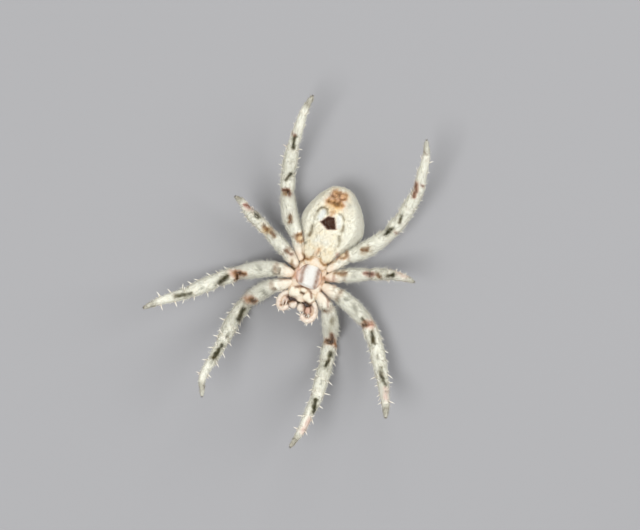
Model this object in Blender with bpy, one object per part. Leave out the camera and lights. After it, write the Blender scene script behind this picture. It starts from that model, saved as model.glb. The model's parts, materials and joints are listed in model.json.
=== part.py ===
"""Orb weaver spider, a life-size still model lying on its back with the legs arched up.

The belly faces +Z, the spinnerets point along +Y and the jaws along -Y.
It rests on the back of the abdomen and on the two front knees.
Everything below is in millimetres until mm() or MM turns it into metres.
"""
from math import cos, hypot, pi, radians, sin

import bmesh
import bpy
from mathutils import Matrix, Vector

MM = 0.001
GAP = 0.05                     # clearance between neighbouring solids

# Driving sizes
STERNUM_AT = (1.62, -0.04)     # sternum centre, measured from the middle of the footprint
HEAD_TURN = radians(-4)        # the front body is turned a little towards its left legs
HEAD_PIVOT_Y = 1.5             # the waist, about which the front body turns
ABDOMEN_ROLL = radians(-5)     # the abdomen is rolled towards its left side
LEG_ROOT_Z = 5.35

CARAPACE_FRONT_Y = -3.45
CARAPACE_REAR_Y = 1.38
CARAPACE_RIM_Z = 4.55
CARAPACE_CROWN_Z = 2.35
STERNUM_TOP_Z = 6.35
STERNUM_LENGTH = 2.8
STERNUM_WIDTH = 2.9

ABDOMEN_FRONT_Y = 1.55
ABDOMEN_REAR_Y = 10.45
ABDOMEN_CENTRE_X = 0.38
ABDOMEN_AXIS_Z = 3.5

# Lengths: femur, patella, tibia, metatarsus, tarsus. The coxa's share widens the root, as
# the coxae crowd against each other. The bow is how far the middle of the
# femur bends away from a straight line: towards the head, and towards the back.
LEG_PAIRS = {
    "1": {"root": (1.26, -1.34), "hip": (3.25, -2.65, 5.4), "thick": 1.0, "coxa": 1.14,
          "lengths": (5.9, 2.6, 4.9, 5.1, 1.9), "bow": (-0.15, 0.15)},
    "2": {"root": (1.54, -0.56), "hip": (3.6, -0.78, 5.4), "thick": 1.0, "coxa": 1.22,
          "lengths": (5.5, 2.4, 4.2, 4.3, 1.7), "bow": (-0.15, 0.15)},
    "3": {"root": (1.58, 0.28), "hip": (3.3, 1.36, 5.5), "thick": 0.84, "coxa": 1.34,
          "lengths": (3.7, 1.5, 2.0, 2.3, 1.1), "bow": (0.0, 0.10)},
    "4": {"root": (1.46, 1.08), "hip": (2.92, 3.36, 5.5), "thick": 1.0, "coxa": 1.08,
          "lengths": (6.0, 2.3, 4.0, 4.6, 1.6), "bow": (0.28, 0.10)},
}
# Heading and rise in degrees of the femur, tibia, metatarsus and tarsus. A heading of 0
# points straight out sideways, and a positive one turns towards the abdomen.
LEG_POSES = {
    "l1": (-54, -53, -88, 55, -85, 30, -112, -9), "r1": (-63, -52, -83, 40, -93, 31, -103, 27),
    "l2": (-29, -38, -47, 35, -40, 32, -47, 29), "r2": (-21, -33, -56, 17, -61, 49, -69, 43),
    "l3": (24, -30, 21, 43, 34, 51, 15, 46), "r3": (25, -35, 22, 58, 8, 46, -2, 35),
    "l4": (54, -33, 78, 40, 86, 26, 98, 17), "r4": (52, -26, 83, 33, 101, 27, 113, 15),
}
PATELLA_FOLLOWS_FEMUR = 0.35   # the rest of its direction comes from the tibia


def mm(x, y, z):
    return Vector((x, y, z)) * MM


# ---------------------------------------------------------------- scene and collections
for old in list(bpy.data.objects):
    bpy.data.objects.remove(old, do_unlink=True)

body = bpy.data.collections.new("orb_weaver_spider")
bpy.context.scene.collection.children.link(body)
cutters = bpy.data.collections.new("cutters")
bpy.context.scene.collection.children.link(cutters)


def empty(name, location, rotation, parent=None):
    """A frame that its pieces are parented to."""
    frame = bpy.data.objects.new(name, None)
    frame.location = location
    frame.rotation_euler = rotation
    frame.parent = parent
    body.objects.link(frame)
    return frame


spider = empty("spider", mm(STERNUM_AT[0], STERNUM_AT[1], 0), (0, 0, 0))
front_body = empty("front_body", mm(0, HEAD_PIVOT_Y, 0), (0, 0, HEAD_TURN), spider)
hind_body = empty("hind_body", mm(ABDOMEN_CENTRE_X, 0, ABDOMEN_AXIS_Z), (0, ABDOMEN_ROLL, 0), spider)


# ---------------------------------------------------------------- materials
def material(name, colour, roughness):
    made = bpy.data.materials.new(name)
    made.use_nodes = True
    shader = made.node_tree.nodes["Principled BSDF"]
    shader.inputs["Base Color"].default_value = (*colour, 1)
    shader.inputs["Roughness"].default_value = roughness
    shader.inputs["Metallic"].default_value = 0
    return made


LEG_CREAM = material("leg_cream", (0.78, 0.72, 0.60), 0.6)
BELLY_CREAM = material("belly_cream", (0.80, 0.74, 0.58), 0.55)
CARAPACE_TAN = material("carapace_tan", (0.55, 0.42, 0.28), 0.5)
STERNUM_WHITE = material("sternum_white", (0.75, 0.66, 0.55), 0.5)
MOUTH_PINK = material("mouth_pink", (0.76, 0.58, 0.48), 0.5)
SPINNERET_BROWN = material("spinneret_brown", (0.45, 0.26, 0.13), 0.6)
FANG_DARK = material("fang_dark", (0.06, 0.02, 0.01), 0.25)
EYE_BLACK = material("eye_black", (0.01, 0.01, 0.01), 0.08)


# ---------------------------------------------------------------- shared shaping
def smooth(stops, t):
    """A smooth curve through the stops (t, value), read at t."""
    if t <= stops[0][0]:
        return stops[0][1]
    for i in range(len(stops) - 1):
        t0, v0 = stops[i]
        t1, v1 = stops[i + 1]
        if t > t1:
            continue
        before = stops[max(i - 1, 0)]
        after = stops[min(i + 2, len(stops) - 1)]
        slope0 = (v1 - before[1]) / (t1 - before[0])
        slope1 = (after[1] - v0) / (after[0] - t0)
        u = (t - t0) / (t1 - t0)
        span = t1 - t0
        return (v0 * (2 * u**3 - 3 * u**2 + 1) + slope0 * span * (u**3 - 2 * u**2 + u)
                + v1 * (3 * u**2 - 2 * u**3) + slope1 * span * (u**3 - u**2))
    return stops[-1][1]


def add_object(name, mesh, skin, parent):
    """Puts a finished mesh, drawn around the sternum centre, into the body."""
    mesh.materials.clear()
    mesh.materials.append(skin)
    mesh.shade_smooth()
    mesh.set_sharp_from_angle(angle=radians(40))
    made = bpy.data.objects.new(name, mesh)
    made.parent = parent
    made.location = -parent.location
    body.objects.link(made)
    return made


def shaped_ball(name, rings, sides, shape):
    """A ball whose poles point along Y, each vertex moved by shape(x, y, z) on the unit ball."""
    ball = bmesh.new()
    bmesh.ops.create_uvsphere(ball, u_segments=sides, v_segments=rings, radius=1,
                              matrix=Matrix.Rotation(-pi / 2, 4, "X"))
    for vertex in ball.verts:
        vertex.co = mm(*shape(*vertex.co))
    mesh = bpy.data.meshes.new(name)
    ball.to_mesh(mesh)
    ball.free()
    return mesh


def tube(name, points, steps=2, roundness=3):
    """A closed tube through the points (x, y, z, radius), as a mesh."""
    route = bpy.data.curves.new(name, "CURVE")
    route.dimensions = "3D"
    route.bevel_depth = MM
    route.bevel_resolution = roundness
    route.use_fill_caps = True
    route.resolution_u = steps
    line = route.splines.new("BEZIER")
    line.bezier_points.add(len(points) - 1)
    for knot, (x, y, z, radius) in zip(line.bezier_points, points):
        knot.co = mm(x, y, z)
        knot.radius = radius
        knot.handle_left_type = "AUTO"
        knot.handle_right_type = "AUTO"
    drawn = bpy.data.objects.new(name + "_route", route)
    cutters.objects.link(drawn)
    bpy.context.view_layer.update()
    evaluated = drawn.evaluated_get(bpy.context.evaluated_depsgraph_get())
    mesh = bpy.data.meshes.new_from_object(evaluated)
    mesh.name = name
    bpy.data.objects.remove(drawn)
    bpy.data.curves.remove(route)
    shell = bmesh.new()
    shell.from_mesh(mesh)
    bmesh.ops.remove_doubles(shell, verts=shell.verts, dist=0.002 * MM)
    bmesh.ops.recalc_face_normals(shell, faces=shell.faces)
    shell.to_mesh(mesh)
    shell.free()
    return mesh


def trimmed(mesh, name, cuts):
    """A copy of the mesh cut by planes (point, direction), keeping what lies along each direction."""
    shell = bmesh.new()
    shell.from_mesh(mesh)
    for point, direction in cuts:
        everything = shell.verts[:] + shell.edges[:] + shell.faces[:]
        bmesh.ops.bisect_plane(shell, geom=everything, dist=0.001 * MM, plane_co=point,
                               plane_no=direction, clear_inner=True)
        rim = [edge for edge in shell.edges if edge.is_boundary]
        bmesh.ops.holes_fill(shell, edges=rim, sides=0)
    bmesh.ops.remove_doubles(shell, verts=shell.verts, dist=0.004 * MM)
    bmesh.ops.recalc_face_normals(shell, faces=shell.faces)
    cut = bpy.data.meshes.new(name)
    shell.to_mesh(cut)
    shell.free()
    return cut


def grown_cutter(name, mesh, parent, growth):
    """A hidden copy of a body, grown on every side, that cuts its neighbours clear of it."""
    shell = bmesh.new()
    shell.from_mesh(mesh)
    shell.normal_update()
    for vertex in shell.verts:
        vertex.co += vertex.normal * growth * MM
    copy = bpy.data.meshes.new(name)
    shell.to_mesh(copy)
    shell.free()
    tool = bpy.data.objects.new(name, copy)
    tool.parent = parent
    tool.location = -parent.location
    tool.hide_render = True
    tool.display_type = "WIRE"
    cutters.objects.link(tool)
    return tool


def cut_clear(piece, tool):
    cut = piece.modifiers.new("clear_of_" + tool.name, "BOOLEAN")
    cut.operation = "DIFFERENCE"
    cut.solver = "EXACT"
    cut.object = tool


# ---------------------------------------------------------------- carapace and sternum
# The carapace is the shield over the back of the front body: broad at the legs, narrow at
# the head, and vaulted downwards here because the animal lies on it. The stops run from
# front to rear.
CARAPACE_HALF_WIDTH = ((0, 0.0), (0.06, 0.95), (0.2, 1.30), (0.36, 1.50), (0.55, 2.15),
                       (0.72, 2.35), (0.88, 1.80), (0.97, 0.95), (1, 0.0))
CARAPACE_DEPTH = ((0, 0.2), (0.05, 0.80), (0.18, 0.98), (0.35, 0.96), (0.55, 1.0), (0.75, 0.86),
                  (0.9, 0.52), (1, 0.2))


def carapace_shape(x, y, z):
    t = (y + 1) / 2
    long_y = CARAPACE_FRONT_Y + t * (CARAPACE_REAR_Y - CARAPACE_FRONT_Y)
    round_out = hypot(x, z)
    if round_out < 1e-6:
        return 0, long_y, CARAPACE_RIM_Z - 0.45
    side, up = x / round_out, z / round_out
    half_width = smooth(CARAPACE_HALF_WIDTH, t)
    depth = smooth(CARAPACE_DEPTH, t) * (CARAPACE_RIM_Z - 0.35 - CARAPACE_CROWN_Z)
    rise = 0.32 * min(1, 6 * t, 6 * (1 - t))
    return side * half_width, long_y, CARAPACE_RIM_Z - 0.35 + (up * rise if up > 0 else up * depth)


carapace_mesh = shaped_ball("carapace", 16, 17, carapace_shape)
add_object("carapace", carapace_mesh, CARAPACE_TAN, front_body)


# The sternum is the breast plate between the leg roots, a shield with a straight front edge
# and a point between the last legs.
def sternum_reach(along):
    """Half width of the shield at a place along it, -1 at the front and 1 at the point."""
    return smooth(((-1, 0.0), (-0.97, 0.50), (-0.8, 0.80), (-0.35, 1.0), (0.2, 0.93),
                   (0.65, 0.62), (0.92, 0.26), (1, 0.0)), along)


def sternum_shape(x, y, z):
    half_width = sternum_reach(y) * STERNUM_WIDTH / 2
    round_out = max(hypot(x, z), 1e-6)
    side, up = x / round_out, z / round_out
    square = max(abs(side), abs(up)) ** 0.75
    thick = (STERNUM_TOP_Z - CARAPACE_RIM_Z - GAP) / 2
    middle = (STERNUM_TOP_Z + CARAPACE_RIM_Z + GAP) / 2
    dome = 1 - 0.18 * y * y
    height = up / square * thick * (dome if up > 0 else 1) * min(1, 3 * (1 - abs(y)) + 0.5)
    return side / square * half_width, y * STERNUM_LENGTH / 2 - 0.05, middle + height


add_object("sternum", shaped_ball("sternum", 11, 14, sternum_shape), STERNUM_WHITE, front_body)

# ---------------------------------------------------------------- mouth parts
# The labium and the two endites close the mouth in front of the sternum.
MOUTH_TOP_Z = 6.2
MOUTH_LOW_Z = CARAPACE_RIM_Z + GAP + 0.06
MOUTH_MIDDLE_Z = (MOUTH_TOP_Z + MOUTH_LOW_Z) / 2
MOUTH_HALF_DEPTH = (MOUTH_TOP_Z - MOUTH_LOW_Z) / 2


def lobe(name, centre, radii, lean, skin, parent=front_body):
    """A rounded block: a squared ball at the centre, turned by lean about the upright."""
    def shape(x, y, z):
        square = max(abs(x), abs(y), abs(z)) ** 0.55
        x, y, z = x / square * radii[0], y / square * radii[1], z / square * radii[2]
        return (centre[0] + x * cos(lean) - y * sin(lean),
                centre[1] + x * sin(lean) + y * cos(lean), centre[2] + z)
    return add_object(name, shaped_ball(name, 7, 10, shape), skin, parent)


lobe("labium", (0, -1.83, MOUTH_MIDDLE_Z - 0.05), (0.40, 0.30, MOUTH_HALF_DEPTH - 0.05), 0,
     MOUTH_PINK)
for side, tag in ((-1, "l"), (1, "r")):
    lobe("endite_" + tag, (side * 0.98, -2.32, MOUTH_MIDDLE_Z), (0.47, 0.58, MOUTH_HALF_DEPTH),
         side * radians(18), MOUTH_PINK)

# The jaws hang from the front of the carapace, so here they stand up in front of the mouth.
# The fangs fold over their ends, base outwards and point inwards.
JAW_TOP_Z = 6.15
for side, tag in ((-1, "l"), (1, "r")):
    jaw_points = ((side * 0.52, -3.40, 4.66, 0.34), (side * 0.56, -3.55, 4.92, 0.46),
                  (side * 0.60, -3.60, 5.35, 0.52), (side * 0.61, -3.56, 5.80, 0.47),
                  (side * 0.62, -3.52, JAW_TOP_Z, 0.34))
    jaw_mesh = tube("chelicera_" + tag, jaw_points, steps=2, roundness=3)
    add_object("chelicera_" + tag, jaw_mesh, MOUTH_PINK, front_body)
    fang_points = ((side * 1.10, -3.30, 6.22, 0.13), (side * 0.98, -3.22, 6.36, 0.17),
                   (side * 0.76, -3.15, 6.42, 0.15), (side * 0.52, -3.10, 6.38, 0.11),
                   (side * 0.32, -3.08, 6.30, 0.05))
    fang_mesh = tube("fang_" + tag, fang_points, steps=2, roundness=1)
    add_object("fang_" + tag, fang_mesh, FANG_DARK, front_body)

# ---------------------------------------------------------------- eyes
# Eight simple eyes on the front of the head: four in a square in the middle and a close
# pair at each side. Each is a ball sunk in the carapace, and only its cap is left.
MIDDLE_EYES = {"front": (0.25, -3.38, 3.62, 0.17), "rear": (0.22, -3.17, 2.98, 0.16)}
SIDE_EYES = {"front": (0.88, -3.19, 3.78, 0.13), "rear": (1.02, -2.98, 3.62, 0.13)}
carapace_tool = grown_cutter("carapace_tool", carapace_mesh, front_body, 0.02)
for group, eyes in (("median", MIDDLE_EYES), ("lateral", SIDE_EYES)):
    for row, (eye_x, eye_y, eye_z, eye_radius) in eyes.items():
        for side, tag in ((-1, "l"), (1, "r")):
            def eye_shape(x, y, z):
                return side * eye_x + x * eye_radius, eye_y + y * eye_radius, eye_z + z * eye_radius
            eye_name = f"eye_{row}_{group}_{tag}"
            eye = add_object(eye_name, shaped_ball(eye_name, 7, 9, eye_shape), EYE_BLACK, front_body)
            cut_clear(eye, carapace_tool)

# ---------------------------------------------------------------- palps
# The palps are the pair of short feelers beside the jaws. Each is a curved tube parted at
# the knee: x, y, z and radius of its stops.
PALPS = {
    "l": ((-1.72, -2.82, 5.25, 0.25), (-1.90, -3.12, 5.10, 0.32), (-2.00, -3.60, 4.95, 0.36),
          (-1.96, -4.05, 5.05, 0.35), (-1.66, -4.36, 5.30, 0.34), (-1.30, -4.42, 5.55, 0.32),
          (-0.98, -4.34, 5.75, 0.25)),
    "r": ((1.72, -2.82, 5.25, 0.25), (1.95, -3.15, 5.10, 0.32), (2.08, -3.68, 4.95, 0.36),
          (2.04, -4.22, 5.05, 0.35), (1.76, -4.62, 5.30, 0.34), (1.38, -4.74, 5.55, 0.32),
          (1.02, -4.62, 5.75, 0.25)),
}
PALP_KNEE = 3


def parted(name, points, joints, node_names, skin, parent, steps, roundness, floor=False):
    """A tube through the points, parted at the joints by thin cuts into the named nodes."""
    whole = tube(name, points, steps=steps, roundness=roundness)
    planes = []
    for joint in joints:
        along = Vector(points[joint + 1][:3]) - Vector(points[joint - 1][:3])
        planes.append((mm(*points[joint][:3]), along.normalized()))
    for number, node in enumerate(node_names):
        cuts = []
        if number > 0:
            place, along = planes[number - 1]
            cuts.append((place + along * GAP * MM / 2, along))
        if number < len(planes):
            place, along = planes[number]
            cuts.append((place - along * GAP * MM / 2, -along))
        if floor:
            cuts.append((Vector((0, 0, 0)), Vector((0, 0, 1))))
        add_object(node, trimmed(whole, node, cuts), skin, parent)
    bpy.data.meshes.remove(whole)


for tag, palp_points in PALPS.items():
    parted("palp_" + tag, palp_points, (PALP_KNEE,), (f"palp_upper_{tag}", f"palp_lower_{tag}"),
           MOUTH_PINK, front_body, 2, 2)


# ---------------------------------------------------------------- legs
def heading(side, turn, rise):
    """Unit vector of a leg segment, from its heading and its rise in degrees."""
    turn, rise = radians(turn), radians(rise)
    return Vector((side * cos(rise) * cos(turn), cos(rise) * sin(turn), sin(rise)))


def leg_points(side, pair, pose):
    """The leg's stops (x, y, z, radius) from the coxa's root to the tip of the tarsus."""
    root = Vector((side * pair["root"][0], pair["root"][1], LEG_ROOT_Z))
    hip = Vector((side * pair["hip"][0], pair["hip"][1], pair["hip"][2]))
    femur_way, tibia_way, metatarsus_way, tarsus_way = (
        heading(side, pose[i], pose[i + 1]) for i in (0, 2, 4, 6))
    patella_way = tibia_way.lerp(femur_way, PATELLA_FOLLOWS_FEMUR).normalized()
    femur, patella, tibia, metatarsus, tarsus = pair["lengths"]
    headward = Vector((side * sin(radians(pose[0])), -cos(radians(pose[0])), 0))
    bow = headward * pair["bow"][0] + Vector((0, 0, -pair["bow"][1]))
    knee = hip + femur_way * femur
    patella_end = knee + patella_way * patella
    tibia_end = patella_end + tibia_way * tibia
    metatarsus_end = tibia_end + metatarsus_way * metatarsus
    tip = metatarsus_end + tarsus_way * tarsus
    stops = (
        (root, 0.41), (root.lerp(hip, 0.45), 0.63), (root.lerp(hip, 0.82), 0.68), (hip, 0.66),
        (hip.lerp(knee, 0.14) + bow * 0.4, 0.80), (hip.lerp(knee, 0.42) + bow, 0.96),
        (hip.lerp(knee, 0.74) + bow * 0.7, 0.90), (knee, 0.79),
        (knee.lerp(patella_end, 0.5), 0.88), (patella_end, 0.80),
        (patella_end.lerp(tibia_end, 0.35), 0.86), (patella_end.lerp(tibia_end, 0.75), 0.78),
        (tibia_end, 0.70), (tibia_end.lerp(metatarsus_end, 0.4), 0.62),
        (metatarsus_end, 0.47), (metatarsus_end.lerp(tip, 0.5), 0.36),
        (metatarsus_end.lerp(tip, 0.88), 0.28), (tip, 0.20),
    )
    widened = {1: 1.0, 2: 1.0, 3: 1.0, 4: 0.5}
    points = []
    for number, (place, radius) in enumerate(stops):
        slim = pair["thick"] if radius > 0.5 else (1 + pair["thick"]) / 2
        slim *= 1 + (pair["coxa"] - 1) * widened.get(number, 0)
        points.append((*place, radius * slim))
    return points


LEG_KNEE = 7
LEG_TIBIA_END = 12
for tag, pose in LEG_POSES.items():
    side = -1 if tag[0] == "l" else 1
    parted("leg_" + tag, leg_points(side, LEG_PAIRS[tag[1]], pose), (LEG_KNEE, LEG_TIBIA_END),
           [f"leg_{tag}_{part}" for part in ("femur", "tibia", "foot")],
           LEG_CREAM, front_body, 2, 3, floor=True)

# The coxae press flat against each other, so the first and third give way to the others.
for side_tag in "lr":
    tools = {pair: grown_cutter(f"coxa_tool_{side_tag}{pair}",
                                bpy.data.objects[f"leg_{side_tag}{pair}_femur"].data, front_body, GAP)
             for pair in "24"}
    for pair, neighbours in (("1", "2"), ("3", "24")):
        for neighbour in neighbours:
            cut_clear(bpy.data.objects[f"leg_{side_tag}{pair}_femur"], tools[neighbour])

# ---------------------------------------------------------------- abdomen
# The stops of the abdomen run from the waist to the rear end: half width, height of the
# belly and of the back. The back leans forward over the waist by the overhang.
ABDOMEN_HALF_WIDTH = ((0, 0.0), (0.03, 1.50), (0.10, 2.05), (0.22, 2.66), (0.36, 3.28),
                      (0.49, 3.56), (0.62, 3.34), (0.78, 2.62), (0.90, 1.78), (0.97, 1.0), (1, 0.0))
ABDOMEN_BELLY = ((0, 4.8), (0.03, 5.80), (0.10, 6.28), (0.22, 6.66), (0.36, 6.92), (0.5, 7.0),
                 (0.66, 6.88), (0.8, 6.45), (0.9, 5.65), (0.97, 4.75), (1, 3.7))
ABDOMEN_BACK = ((0, 4.0), (0.03, 2.95), (0.10, 1.80), (0.22, 0.72), (0.36, 0.12), (0.5, -0.06),
                (0.66, 0.06), (0.8, 0.62), (0.9, 1.45), (0.97, 2.45), (1, 3.5))
MIDLINE_SWAY = ((0, 0.1), (0.3, 0.95), (0.6, 1.2), (1, 0.7))
OVERHANG = 1.2
OVERHANG_TO_Z = 4.0
BELLY_MIDLINE_X = 0.27         # the roll brings it back over the middle of the sternum
BELLY_SQUARE = 0.30            # how much the belly is squared towards a flat underside


def abdomen_shape(x, y, z):
    t = (y + 1) / 2
    round_out = max(hypot(x, z), 1e-6)
    side, up = x / round_out, z / round_out
    half_width = smooth(ABDOMEN_HALF_WIDTH, t)
    belly, back = smooth(ABDOMEN_BELLY, t), smooth(ABDOMEN_BACK, t)
    waistline = back + (belly - back) * 0.5
    square = max(abs(side), abs(up)) ** (BELLY_SQUARE if up > 0 else 0.1)
    height = waistline + up / square * (belly - back) / 2
    lean = OVERHANG * (1 - t) ** 3 * max(0.0, 1 - height / OVERHANG_TO_Z)
    long_y = ABDOMEN_FRONT_Y + t * (ABDOMEN_REAR_Y - ABDOMEN_FRONT_Y) - lean
    centre_x = ABDOMEN_CENTRE_X * smooth(MIDLINE_SWAY, t)
    return centre_x + side / square * half_width, long_y, height


abdomen_ball = shaped_ball("abdomen_ball", 20, 21, abdomen_shape)
bpy.context.view_layer.update()
from_floor = (hind_body.matrix_world @ Matrix.Translation(-hind_body.location)).inverted()
floor_cut = (from_floor @ Vector((0, 0, 0)), from_floor.to_3x3() @ Vector((0, 0, 1)))
abdomen_mesh = trimmed(abdomen_ball, "abdomen", [floor_cut])
bpy.data.meshes.remove(abdomen_ball)
add_object("abdomen", abdomen_mesh, BELLY_CREAM, hind_body)
abdomen_tool = grown_cutter("abdomen_tool", abdomen_mesh, hind_body, GAP)

# The last coxae are pressed in where the soft belly bulges over them.
for tag in ("l4", "r4"):
    cut_clear(bpy.data.objects[f"leg_{tag}_femur"], abdomen_tool)

# ---------------------------------------------------------------- waist, epigyne, spinnerets
pedicel_points = ((0, 1.38, 4.95, 0.26), (0, 1.60, 4.95, 0.24), (0.02, 2.2, 4.95, 0.26))
pedicel = add_object("pedicel", tube("pedicel", pedicel_points, steps=3, roundness=2),
                     BELLY_CREAM, hind_body)
cut_clear(pedicel, abdomen_tool)

# The epigyne is the female's small raised plate in the middle of the belly's front.
epigyne = lobe("epigyne", (BELLY_MIDLINE_X, 2.45, 6.38), (0.34, 0.30, 0.20), 0, SPINNERET_BROWN,
               hind_body)
cut_clear(epigyne, abdomen_tool)

# Two pairs of spinnerets close over each other at the rear of the belly: x, y, z and radius
# of each blunt cone's base and tip, mirrored for the left one.
SPINNERETS = {
    "front": ((0.50, 8.25, 5.90, 0.48), (0.46, 8.40, 6.42, 0.45), (0.36, 8.62, 6.78, 0.27)),
    "rear": ((0.50, 9.42, 5.20, 0.42), (0.45, 9.28, 5.95, 0.39), (0.36, 9.06, 6.40, 0.22)),
}
for row, cone in SPINNERETS.items():
    for side, tag in ((-1, "l"), (1, "r")):
        cone_points = [(BELLY_MIDLINE_X + side * x, y, z, radius) for x, y, z, radius in cone]
        name = f"spinneret_{row}_{tag}"
        spinneret = add_object(name, tube(name, cone_points, steps=3, roundness=2),
                               SPINNERET_BROWN, hind_body)
        cut_clear(spinneret, abdomen_tool)
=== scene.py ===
"""An orb weaver spider lying on its back with the legs arched up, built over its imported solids."""
import json
from math import cos, pi, radians, sin

import bpy
import numpy as np
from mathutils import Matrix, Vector, noise
from mathutils.kdtree import KDTree

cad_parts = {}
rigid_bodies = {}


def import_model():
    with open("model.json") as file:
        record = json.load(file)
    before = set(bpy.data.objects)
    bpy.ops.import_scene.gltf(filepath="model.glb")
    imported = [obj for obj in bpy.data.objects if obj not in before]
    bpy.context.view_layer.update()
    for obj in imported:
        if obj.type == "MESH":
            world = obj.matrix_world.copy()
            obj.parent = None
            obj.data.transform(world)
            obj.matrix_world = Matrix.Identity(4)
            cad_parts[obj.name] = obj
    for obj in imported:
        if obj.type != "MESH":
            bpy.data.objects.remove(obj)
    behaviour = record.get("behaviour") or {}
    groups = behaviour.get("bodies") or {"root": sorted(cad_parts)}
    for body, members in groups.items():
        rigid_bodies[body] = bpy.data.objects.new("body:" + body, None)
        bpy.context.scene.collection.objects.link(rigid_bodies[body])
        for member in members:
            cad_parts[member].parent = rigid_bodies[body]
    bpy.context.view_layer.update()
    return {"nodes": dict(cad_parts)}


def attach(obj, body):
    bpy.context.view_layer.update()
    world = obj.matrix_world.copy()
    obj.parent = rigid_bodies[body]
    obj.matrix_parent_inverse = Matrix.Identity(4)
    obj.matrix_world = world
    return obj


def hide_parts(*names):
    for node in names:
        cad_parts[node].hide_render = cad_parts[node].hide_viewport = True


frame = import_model()

# ==================================================================== legs
# Eight legs of seven joints: coxa, trochanter, femur, patella, tibia, metatarsus, tarsus.
# Each is a round limb of thin cuticle over flesh, pinched where a soft membrane joins two
# segments, more so on the belly side, where the legs fold.
MM = 0.001
STERNUM_AT = (1.62, -0.04)     # the middle of the breast plate, in mm on the floor plan
HEAD_TURN = radians(-4)
WAIST_Y = 1.5
LEG_ROOT_Z = 5.35
LEG_COAT = (0.045, 0.075)      # depth of the coat on a thin tip, and what a thick limb adds
THICK_LIMB = 0.7
LEG_STEPS = (0.1, 0.095)       # mm between stops of a leg's route, and between its rings
PATELLA_FOLLOWS_FEMUR = 0.35

# Of each pair of legs: root; hip; thickness; how much the crowded coxa widens the root;
# lengths of femur, patella, tibia, metatarsus and tarsus; and how far the middle of the femur
# bends away from a straight line, towards the head and towards the back.
LEG_PAIRS = {
    "1": ((1.26, -1.34), (3.25, -2.65, 5.4), 1.0, 1.14, (5.9, 2.6, 4.9, 5.1, 1.9), (-0.15, 0.15)),
    "2": ((1.54, -0.56), (3.6, -0.78, 5.4), 1.0, 1.22, (5.5, 2.4, 4.2, 4.3, 1.7), (-0.15, 0.15)),
    "3": ((1.58, 0.28), (3.3, 1.36, 5.5), 0.84, 1.34, (3.7, 1.5, 2.0, 2.3, 1.1), (0.0, 0.10)),
    "4": ((1.46, 1.08), (2.92, 3.36, 5.5), 1.0, 1.08, (6.0, 2.3, 4.0, 4.6, 1.6), (0.28, 0.10)),
}
# Heading and rise in degrees of the femur, tibia, metatarsus and tarsus. A heading of 0
# points straight out sideways, and a positive one turns towards the abdomen.
LEG_POSES = {
    "l1": (-54, -53, -88, 55, -85, 30, -112, -9), "r1": (-63, -52, -83, 40, -93, 31, -103, 27),
    "l2": (-29, -38, -47, 35, -40, 32, -47, 29), "r2": (-21, -33, -56, 17, -61, 49, -69, 43),
    "l3": (24, -30, 21, 43, 34, 51, 15, 46), "r3": (25, -35, 22, 58, 8, 46, -2, 35),
    "l4": (54, -33, 78, 40, 86, 26, 98, 17), "r4": (52, -26, 83, 33, 101, 27, 113, 15),
}
# The number noted on every vertex for the part it belongs to. A leg adds its own number.
ABDOMEN, SPINNERET, CORE, MOUTH, JAW, PALP, SHELL, TOOTH, LEG, RIGHT_LEG = 1, 2, 3, 4, 5, 6, 8, 9, 10, 20
LEG_CODES = {"l": LEG, "r": RIGHT_LEG}
# The knots of a leg: place counted in joints, where 1 is the hip, 2 the knee, 3 the end of the
# patella, 4 of the tibia, 5 of the metatarsus and 6 the tip; radius; shares of bow and coxa.
LEG_KNOTS = (
    (0, 0.41, 0, 0), (0.45, 0.63, 0, 1), (0.82, 0.68, 0, 1), (1, 0.66, 0, 1), (1.14, 0.80, 0.4, 0.5),
    (1.42, 0.96, 1, 0), (1.74, 0.90, 0.7, 0), (2, 0.79, 0, 0), (2.5, 0.88, 0, 0), (3, 0.80, 0, 0),
    (3.35, 0.86, 0, 0), (3.75, 0.78, 0, 0), (4, 0.70, 0, 0), (4.4, 0.62, 0, 0), (5, 0.47, 0, 0),
    (5.5, 0.36, 0, 0), (5.88, 0.28, 0, 0), (6, 0.20, 0, 0),
)
# The pinch at each joint: how deep all round, how much deeper below, and how long, in mm.
JOINT_PINCHES = {1: (0.07, 0.05, 0.16), 2: (0.04, 0.24, 0.26), 3: (0.04, 0.02, 0.10),
                 4: (0.04, 0.14, 0.18), 5: (0.035, 0.03, 0.12)}


def smooth_line(stops, t):
    """A smooth curve through the stops (t, value), read at an array of t."""
    knots, values = np.array(stops, float).T
    slopes = np.empty(len(stops))
    for i in range(len(stops)):
        before, after = max(i - 1, 0), min(i + 1, len(stops) - 1)
        slopes[i] = (values[after] - values[before]) / (knots[after] - knots[before])
    t = np.clip(t, knots[0], knots[-1])
    i = np.clip(np.searchsorted(knots, t, "right") - 1, 0, len(knots) - 2)
    span = knots[i + 1] - knots[i]
    u = (t - knots[i]) / span
    return (values[i] * (2 * u**3 - 3 * u**2 + 1) + slopes[i] * span * (u**3 - 2 * u**2 + u)
            + values[i + 1] * (3 * u**2 - 2 * u**3) + slopes[i + 1] * span * (u**3 - u**2))


def hump(away, width):
    """1 where away is 0, falling softly over the width."""
    return np.exp(-(away / width)**2)


def limited(values):
    return np.clip(values, 0, 1)


def heading(side, turn, rise):
    turn, rise = radians(turn), radians(rise)
    return Vector((side * cos(rise) * cos(turn), cos(rise) * sin(turn), sin(rise)))


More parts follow.
